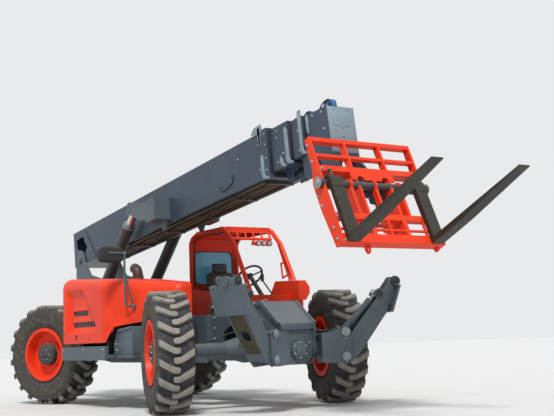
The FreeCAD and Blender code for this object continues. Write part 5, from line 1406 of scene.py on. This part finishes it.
@dataclass
class CylinderTrim:
    """Gland nuts, port blocks and hard lines of the lift cylinders.

    The pins' places are in the drawing's millimetres, the other sizes in metres.
    """

    base: tuple[float, float] = (-1900.0, 1200.0)
    eye: tuple[float, float] = (-500.0, 2500.0)
    lift_y: float = 0.368
    radius: float = 0.078
    length: float = 1.65
    ports: tuple[float, float] = (0.20, 1.42)

    def build(self) -> None:
        """Model and dress both lift cylinders' trim."""
        start = at(self.base[0], 0, self.base[1])
        axis = (at(self.eye[0], 0, self.eye[1]) - start).normalized()
        upward = Vector((-axis.z, 0, axis.x))
        r = self.radius
        profile = ((0, r - 0.02), (0, r + 0.006), (0.03, r + 0.006), (0.036, r), (0.044, r), (0.044, 0.052),
                   (0.02, 0.052))
        for side in Side:
            shift = side.outward * self.lift_y
            foot = start + shift
            gland = turned(f"gland_{side.label}", profile, towards(foot + axis * (self.length - 0.042), axis),
                           32)
            lines = []
            for turn, reach in ((0.0, 1.42), (0.022, 0.42)):
                off = upward * (r + 0.020) + Vector((0, turn, 0))
                stops = (0.20, 0.26, reach - 0.1, reach)
                lines.append(pipe("hard_line", [foot + axis * along + off for along in stops], 8, 2))
            for along in self.ports:
                ring = [foot + axis * (along + a) + Vector((0, b, 0)) + upward * (r - 0.004)
                        for a, b in corners(-0.03, -0.024, 0.03, 0.034)]
                lines.append(plate("port_block", ring, upward * 0.034, 3))
            bends = ((0.20, 0.02), (0.14, 0.075), (0.05, 0.085))
            points = [foot + axis * along + upward * (r + off) for along, off in bends]
            points.append(start + shift * 0.86 - axis * 0.05 + upward * 0.10)
            hose = pipe(f"lift_hose_{side.label}", points, 11, 2)
            body = f"lift_barrel_{side.label}"
            dress(gland, body, ZINC)
            dress(joined(f"hard_lines_{side.label}", lines), body, DARK)
            dress(hose, body, HOSE)


@dataclass
class CabTrim:
    """Seals, seat cushions, lamps, pedals and studs of the open cab. Sizes in millimetres."""

    seat_x: float = -415.0
    seat_y: float = 820.0
    floor: float = 1005.3
    window: tuple[float, float, float, float] = (555.0, 1140.0, 1530.0, 1965.0)
    lens: Outline = ((-0.004, 0), (-0.004, 0.026), (0.002, 0.026), (0.006, 0.014), (0.007, 0))
    bezel: Outline = ((-0.026, 0.0315), (-0.026, 0.035), (0.004, 0.035), (0.006, 0.031), (0.004, 0.027),
                      (-0.003, 0.027))
    seal_line: Outline = ((-583, 1475), (-583, 1800), (-583, 2030), (-575, 2090), (-530, 2140), (-440, 2150),
                          (100, 2150), (240, 2148))

    def window_seal(self) -> bpy.types.Object:
        """Return the rubber seal round the rear window."""
        y0, y1, z0, z1 = self.window
        steps, squareness = 40, 0.25
        rings = []
        for grow, x in ((0, -634), (14, -634), (16, -628), (14, -606), (2, -606)):
            shape = oval(steps, (y1 - y0) / 2 + grow, (z1 - z0) / 2 + grow, squareness)
            rings.append([at(x, (y0 + y1) / 2 + y, (z0 + z1) / 2 + z) for y, z in shape])
        seal = surface("window_seal", steps, len(rings), lambda i, j: rings[j % len(rings)][i % steps])
        close_up(seal)
        return seal

    def cushion(self, name: str, centre: Place, size: Place, lean: float, crown: float) -> bpy.types.Object:
        """Return a crowned cushion with a sewn panel line.

        Args:
            name: the piece's name.
            centre: its middle in the drawing's millimetres.
            size: its length, width and thickness.
            lean: degrees that it leans back about Y.
            crown: how far its face swells; below zero it swells on the other face.

        Returns:
            The cushion.
        """
        length, width, thick = size
        columns, rows = 20, 28
        cos_lean, sin_lean = math.cos(math.radians(lean)), math.sin(math.radians(lean))

        def place(column: int, row: int) -> Vector:
            """Return a point of the closed shell: rows run round its section, columns along its length."""
            t = column / columns * 2 - 1
            angle = 2 * math.pi * row / rows
            cos, sin = math.cos(angle), math.sin(angle)
            pull = math.sqrt(max(0.0, 1 - abs(t) ** 6))
            y = width / 2 * math.copysign(abs(cos) ** 0.4, cos) * (0.86 + 0.14 * pull)
            z = thick / 2 * math.copysign(abs(sin) ** 0.55, sin) * (0.30 + 0.70 * pull)
            if sin > 0:
                z += crown * (1 - t * t) * sin * (1 - 0.5 * abs(math.sin(3 * math.pi * y / width)) ** 8)
                groove = min(abs(abs(y) - width * 0.30), 12) / 12
                z -= 7 * (1 - groove) * pull
            x = length / 2 * t
            return at(centre[0] + x * cos_lean - z * sin_lean, centre[1] + y,
                      centre[2] + x * sin_lean + z * cos_lean)

        shell = surface(name, columns, rows, place)
        close_up(shell)
        bpy.ops.object.mode_set(mode="EDIT")
        bpy.ops.mesh.select_all(action="SELECT")
        bpy.ops.mesh.fill_holes(sides=0)
        bpy.ops.mesh.normals_make_consistent(inside=False)
        bpy.ops.object.mode_set(mode="OBJECT")
        return modified(shell, "SUBSURF", levels=1, render_levels=1)

    def seat(self) -> None:
        """Dress the seat: base, bellows, cushions, head rest and arm rests."""
        x, y, floor = self.seat_x, self.seat_y, self.floor
        rings = []
        for i in range(13):
            grow = 12 if i % 2 else 0
            ring = corners(x + 105 - grow, y - 150 - grow, x + 405 + grow, y + 150 + grow)
            rings.append([at(px, py, floor + 52 + i * 10.5) for px, py in ring])
        back = ((x + 40, floor + 215), (x - 24, floor + 640), (x - 2, floor + 648), (x + 66, floor + 220))
        pieces = [brick("seat_base", (x + 95, y - 160, floor + 1), (x + 415, y + 160, floor + 52), 8),
                  rounded(loft("seat_bellows", rings), 3),
                  brick("seat_pan", (x + 50, y - 200, floor + 176), (x + 480, y + 200, floor + 206), 10),
                  side_plate("seat_back_shell", back, y - 190, 380, 8)]
        post = ((x + 22, floor + 300), (x + 20, floor + 450), (x + 62, floor + 450), (x + 66, floor + 300))
        for side in Side:
            near = side.value * 252 + y
            pieces.append(brick("arm_rest", (x + 30, near - 22, floor + 428),
                                (x + 290, near + 22, floor + 466), 12, 3))
            pieces.append(side_plate("arm_post", post, near - 8, 16, 3))
        dress(joined("seat_frame", pieces), "chassis", PLASTIC, "seat")
        for name, centre, size, lean, crown in (
                ("seat_cushion", (x + 265, y, floor + 248), (440, 440, 88), 4.0, 16.0),
                ("back_cushion", (x + 62, y, floor + 460), (420, 400, 86), 99.0, -14.0),
                ("head_rest", (x + 8, y, floor + 722), (130, 220, 66), 97.0, -8.0)):
            piece = self.cushion(name, centre, size, lean, crown)
            dress(piece, "chassis", VINYL)

    def lamps(self) -> None:
        """Put lenses and bezels on the work lamps."""
        lenses, bezels = [], []
        for y in (965, 1050, 1135):
            place = towards(at(390, y, 1998), AHEAD)
            lenses.append(turned("lamp_glass", self.lens, place, 20))
            bezels.append(turned("lamp_bezel", self.bezel, place, 20))
        dress(joined("lamp_lenses", lenses), "chassis", LENS)
        dress(joined("lamp_bezels", bezels), "chassis", PLASTIC)

    def seals(self) -> None:
        """Run rubber seals up the rear posts and over the roof's inner edge."""
        strips = [tube("post_seal", [(x, y, z) for x, z in self.seal_line], 8, 2) for y in (540, 1185)]
        dress(joined("post_seals", strips), "chassis", HOSE)
        dress(self.window_seal(), "chassis", HOSE)

    def small_parts(self) -> None:
        """Add the studs, pedals, gauges, floor mat and indicator stalk."""
        places = studs(UPWARDS, ((x, y, 2216) for x in (-380, 200) for y in (520, 1205)))
        places += studs(ASTERN, ((-646, y, z) for y in (520, 1200) for z in (1010, 1200, 1420)))
        dress(bolts("cab_studs", 22, places), "chassis", ORANGE)
        pieces = []
        for y in (930, 1010):
            pad = ((700, 1030), (745, 1120), (757, 1116), (712, 1024))
            pieces.append(side_plate("pedal", pad, y, 55, 4))
            pieces.append(tube("pedal_arm", ((742, y + 27, 1105), (800, y + 27, 1130), (870, y + 27, 1180)),
                               8, 2))
        lean = Vector((-0.25, 0, 1.0)).normalized()
        for y, r in ((790, 0.020), (838, 0.026), (884, 0.020)):
            dial = ((-0.004, 0), (-0.004, r), (0.006, r), (0.008, r - 0.003), (0.004, r - 0.005), (0.004, 0))
            pieces.append(turned("dial", dial, towards(at(790, y, 1268), lean), 20))
        dress(joined("pedals_and_dials", pieces), "chassis", PLASTIC)
        mat = [brick("floor_mat", (100, 520, 1006), (700, 1200, 1011), 3)]
        mat += [brick("mat_rib", (x, 535, 1010), (x + 14, 1185, 1014), 2) for x in range(120, 680, 42)]
        dress(joined("floor_mat", mat), "chassis", HOSE)
        stalk = tube("indicator_stalk", ((345, 900, 1500), (350, 980, 1530), (356, 1010, 1560)), 6, 2)
        dress(stalk, "chassis", PLASTIC)

    def build(self) -> None:
        """Model and dress the cab's trim."""
        self.seat()
        self.lamps()
        self.seals()
        self.small_parts()


@dataclass
class FrontTrim:
    """Nuts, hatch, bolts and hoses of the front frame and the outriggers. Sizes in millimetres."""

    front: float = 2606.0
    bearing_z: float = 630.0
    bolt_circle: float = 78.0
    nut: Outline = ((0, 0), (0, 0.094), (0.010, 0.098), (0.016, 0.090), (0.018, 0.062), (0.032, 0.060),
                    (0.034, 0.030), (0.040, 0.026), (0.042, 0))
    pin_cap: Outline = ((-0.002, 0), (-0.002, 0.046), (0.006, 0.048), (0.010, 0.044), (0.012, 0.026),
                        (0.022, 0.024), (0.024, 0))
    foot_pin: Outline = ((-0.002, 0), (-0.002, 0.050), (0.008, 0.052), (0.012, 0.046), (0.012, 0.022),
                         (0.020, 0.018), (0.020, 0))
    eye_pin: Outline = ((-0.002, 0), (-0.002, 0.036), (0.006, 0.038), (0.010, 0.034), (0.012, 0))
    # The underside's sheet of painted shade: how far it lies below the arm's line, and the radius of the hole
    # cut in it
    film_up: float = -113.6
    film_hole: float = 52.0

    def frame(self) -> None:
        """Dress the pivot boss, the hatch and the frame's bolts."""
        place = towards(at(self.front + 34, 0, self.bearing_z), AHEAD)
        dress(turned("pivot_nut", self.nut, place, 32), "chassis", GREY)
        ring = []
        for i in range(6):
            angle = 2 * math.pi * (i + 0.5) / 6
            ring.append((self.front + 50, self.bolt_circle * math.cos(angle),
                         self.bearing_z + self.bolt_circle * math.sin(angle)))
        spots = studs(AHEAD, ring) + studs(AHEAD, ((self.front, y, z) for y in (-150, 150)
                                                   for z in (700, 820)))
        lower = ((1230, 780), (1230, 900), (1230, 1020), (2050, 1040), (2250, 960))
        for side in Side:
            spots += studs(side.outward, ((x, side.value * 240, 1145) for x in (1250, 1700, 2150)))
            spots += studs(side.outward, ((x, side.value * 215, z) for x, z in lower))
        dress(bolts("front_bolts", 24, spots), "chassis", ZINC)
        handle = ((2000, -40, 1162), (2000, -40, 1190), (2000, 40, 1190), (2000, 40, 1162))
        pieces = [brick("front_hatch", (1500, -150, 1159), (2050, 150, 1166), 3),
                  tube("hatch_handle", handle, 6, 2)]
        pieces += [brick("hatch_hinge", (1492, y - 30, 1160), (1512, y + 30, 1176), 3) for y in (-90, 90)]
        dress(joined("front_hatch", pieces), "chassis", LIGHT_GREY)

    def hoses(self) -> None:
        """Run hoses from the frame to the axle and out to the outriggers."""
        steer = ((1800, 150, 860), (1860, 190, 900), (1930, 240, 860), (1950, 250, 780), (1965, 240, 745))
        brake = ((1700, 215, 850), (1690, 320, 830), (1700, 480, 765), (1720, 640, 745), (1740, 700, 738))
        lines = []
        for side in Side:
            runs = [("outrigger_hose", ((2300 + 30 * i, 225, 900 - 25 * i),
                                        (2330 + 30 * i, 270, 905 - 25 * i),
                                        (2400 + 25 * i, 320, 860), (2470 + 20 * i, 360, 822 + 6 * i),
                                        (2520, 400, 815 + 8 * i), (2575, 440, 830 + 8 * i)), 10)
                    for i in range(2)]
            for name, line, radius in (*runs, ("steer_hose", steer, 9), ("brake_hose", brake, 8)):
                lines.append(tube(name, [(x, side.value * y, z) for x, y, z in line], radius, 2))
        dress(joined("front_hoses", lines), "chassis", HOSE)

    def hinge(self, side: Side, across: Vector) -> None:
        """Cap the pins of an outrigger's hinge and bolt its bracket."""
        caps, small = [], []
        for up in (0, 260):
            for sign in (-1, 1):
                place = towards(outrigger_at(side, 0, sign * 148, up, False), across * sign)
                caps.append(turned("pin_cap", self.pin_cap, place, 24))
                small.append((outrigger_at(side, 0, sign * 138, up - 62, False), across * sign))
        dress(joined(f"hinge_pins_{side.label}", caps), "chassis", ZINC)
        dress(bolts(f"hinge_bolts_{side.label}", 18, small), "chassis", ZINC)

    def arm(self, side: Side, across: Vector) -> None:
        """Cap the pins of an outrigger's arm, and give it its hose and a sheet of painted shade on its
        underside.
        """
        body = f"outrigger_arm_{side.label}"
        caps = []
        for sign in (-1, 1):
            for name, profile, place, facets in (("foot_pin", self.foot_pin, (975, 122, 0), 24),
                                                 ("eye_pin", self.eye_pin, (760, 132, 75), 20)):
                end = outrigger_at(side, place[0], sign * place[1], place[2])
                caps.append(turned(name, profile, towards(end, across * sign), facets))
        dress(joined(f"arm_pins_{side.label}", caps), body, PLASTIC)
        # A thin sheet under the arm carries the painted shade, browned as if lit from the ground
        below = (outrigger_at(side, 0, 0, 1) - outrigger_at(side, 0, 0, 0)) * 1.2
        arc = [(380 + math.copysign(15, math.cos(a)) + self.film_hole * math.cos(a),
                self.film_hole * math.sin(a))
               for a in (math.pi - math.pi * (i + 0.5) / 16 for i in range(16))]
        outline = [(164, 0), (311, 0), *arc, (449, 0), (648, 0), (648, 92), (164, 92)]
        halves = []
        for half in (-1, 1):
            near = [outrigger_at(side, reach, half * offset, self.film_up) for reach, offset in outline]
            halves.append(plate("underside", near, below, 0.3))
        dress(joined(f"arm_underside_{side.label}", halves), body, UNDERSIDE_SHADE)
        line = ((420, 10), (440, 34), (560, 34), (640, 30), (660, 8))
        hose = pipe(f"arm_hose_{side.label}", [outrigger_at(side, reach, 72, up) for reach, up in line], 8, 2)
        dress(hose, body, HOSE)

    def build(self) -> None:
        """Model and dress the front of the machine."""
        self.frame()
        self.hoses()
        for side in Side:
            across = outrigger_at(side, 0, 1, 0, False) - outrigger_at(side, 0, 0, 0, False)
            across.normalize()
            self.hinge(side, across)
            self.arm(side, across)


@dataclass
class PodTrim:
    """The engine, guard bar, tank cap, steps and rear lamps. Sizes in millimetres."""

    cylinders: int = 6
    blades: int = 7
    air_cleaner: Outline = ((0, 0), (0, 0.085), (0.02, 0.095), (0.30, 0.095), (0.31, 0.088), (0.36, 0.088),
                            (0.37, 0))
    shroud: Outline = ((0, 0.20), (0, 0.225), (0.06, 0.225), (0.06, 0.20))
    hub: Outline = ((0, 0), (0, 0.06), (0.05, 0.06), (0.05, 0))
    fuel_cap: Outline = ((0, 0), (0, 0.045), (0.012, 0.048), (0.030, 0.045), (0.034, 0.038), (0.034, 0))
    stud: Outline = ((0, 0), (0, 0.012), (0.005, 0.008), (0.005, 0))

    def engine(self) -> None:
        """Replace the plain engine block by a block with head, covers, sump and runners."""
        pieces = [brick("crankcase", (-700, -980, 860), (60, -660, 1130), 14),
                  brick("sump", (-660, -950, 802), (20, -690, 870), 20),
                  brick("head", (-690, -950, 1128), (50, -690, 1250), 10),
                  brick("rocker_cover", (-670, -920, 1248), (30, -720, 1330), 24, 3),
                  brick("bell_housing", (60, -1000, 830), (176, -640, 1180), 20)]
        for i in range(self.cylinders):
            x = -620 + 115 * i
            pieces.append(tube("intake_runner", ((x, -700, 1190), (x, -640, 1215), (x, -600, 1200)), 22))
            pieces.append(tube("exhaust_runner", ((x, -945, 1200), (x, -1000, 1195), (x + 20, -1030, 1210)),
                               20))
            pieces.append(brick("ribs", (x - 6, -986, 880), (x + 6, -654, 1110), 3))
        pieces.append(tube("intake_log", [(x, -592, 1205) for x in (-680, -640, 40, 80)], 30))
        outlet = ((-640, -1035, 1212), (60, -1035, 1212), (110, -1030, 1250), (118, -900, 1330))
        pieces.append(tube("exhaust_log", outlet, 28))
        dress(joined("engine", pieces), "chassis", CAST_IRON, "engine_block")

    def fan(self) -> None:
        """Dress the air cleaner and the fan in its shroud."""
        pieces = [turned("air_cleaner", self.air_cleaner, towards(at(-560, -1000, 1285), AHEAD), 32),
                  turned("fan_shroud", self.shroud, towards(at(-775, -820, 1030), AHEAD), 40),
                  turned("fan_hub", self.hub, towards(at(-770, -820, 1030), AHEAD), 24)]
        hub = at(-748, -820, 1030)
        for i in range(self.blades):
            angle = 2 * math.pi * i / self.blades
            arm = Vector((0, math.cos(angle), math.sin(angle)))
            wide = Vector((0, -math.sin(angle), math.cos(angle)))
            blade = [hub + arm * reach + wide * half + AHEAD * twist
                     for reach, half, twist in ((0.05, -0.02, -0.012), (0.19, -0.045, -0.016),
                                                (0.19, 0.045, 0.016),
                                                (0.05, 0.02, 0.012))]
            pieces.append(plate("fan_blade", blade, AHEAD * 0.004, 0.8))
        dress(joined("air_and_fan", pieces), "chassis", PLASTIC)

    def guard(self) -> None:
        """Bolt the guard bar and its end plate."""
        spots = studs(Side.RIGHT.outward, ((x, -1225, 700) for x in (-880, -250, 350)))
        dress(bolts("guard_bolts", 20, spots), "chassis", ZINC)
        dress(side_plate("guard_fold", corners(-936, 732, 396, 741), -1228, 50, 3), "chassis", GREY)

    def left_side(self) -> None:
        """Dress the tank with its cap, straps and step treads."""
        place = towards(at(-780, 1150, 945), Vector((0, 0.6, 0.75)).normalized())
        pieces = [turned("fuel_cap", self.fuel_cap, place, 24)]
        pieces += [brick("tank_strap", (x, 1176, 640), (x + 40, 1184, 900), 3) for x in (-700, -180)]
        dress(joined("tank_fittings", pieces), "chassis", DARK)
        treads = []
        for z in (590, 790):
            treads.append(brick("step_tread", (30, 830, z - 1), (540, 1195, z + 4), 2))
            for i in range(11):
                for j in range(5):
                    place = Matrix.Translation(at(60 + 46 * i, 860 + 76 * j, z + 3))
                    treads.append(turned("tread_stud", self.stud, place, 8))
        dress(joined("step_treads", treads), "chassis", GREY)

    def rear(self) -> None:
        """Dress the counterweight with lamps and bolts."""
        pieces = {"shell": [], "red": [], "amber": []}
        for side in Side:
            y = side.value * 520
            pieces["shell"].append(brick("rear_lamp_shell", (-2948, y - 80, 1010), (-2930, y + 80, 1090), 8))
            for colour, inner, outer in (("red", -70, 4), ("amber", 10, 70)):
                low, high = sorted((side.value * inner, side.value * outer))
                pieces[colour].append(brick(f"rear_{colour}", (-2955, y + low, 1020), (-2946, y + high, 1080),
                                            5))
        dress(joined("rear_lamp_shells", pieces["shell"]), "chassis", PLASTIC)
        dress(joined("rear_red_lenses", pieces["red"]), "chassis", RED_LENS)
        dress(joined("rear_amber_lenses", pieces["amber"]), "chassis", AMBER_LENS)
        spots = studs(ASTERN, ((-2940, y, z) for y in (-360, 360) for z in (800, 1120)))
        dress(bolts("ballast_bolts", 36, spots), "chassis", ZINC)

    def build(self) -> None:
        """Model and dress the pod, the tank and the rear."""
        self.engine()
        self.fan()
        self.guard()
        self.left_side()
        self.rear()


def main() -> None:
    """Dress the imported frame, piece by piece."""
    logging.basicConfig(level=logging.INFO, format="%(message)s")
    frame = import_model()
    Studio().build()
    dress_nodes(frame["nodes"])
    assemblies = (Wheels(), Hood(), SideBox(), RightMirror(), ExhaustPipe(), BoomTrim(), CarriageTrim(),
                  CylinderTrim(),
                  CabTrim(), FrontTrim(), PodTrim())
    for assembly in assemblies:
        LOG.info("Building %s", type(assembly).__name__)
        assembly.build()


if __name__ == "__main__":
    main()
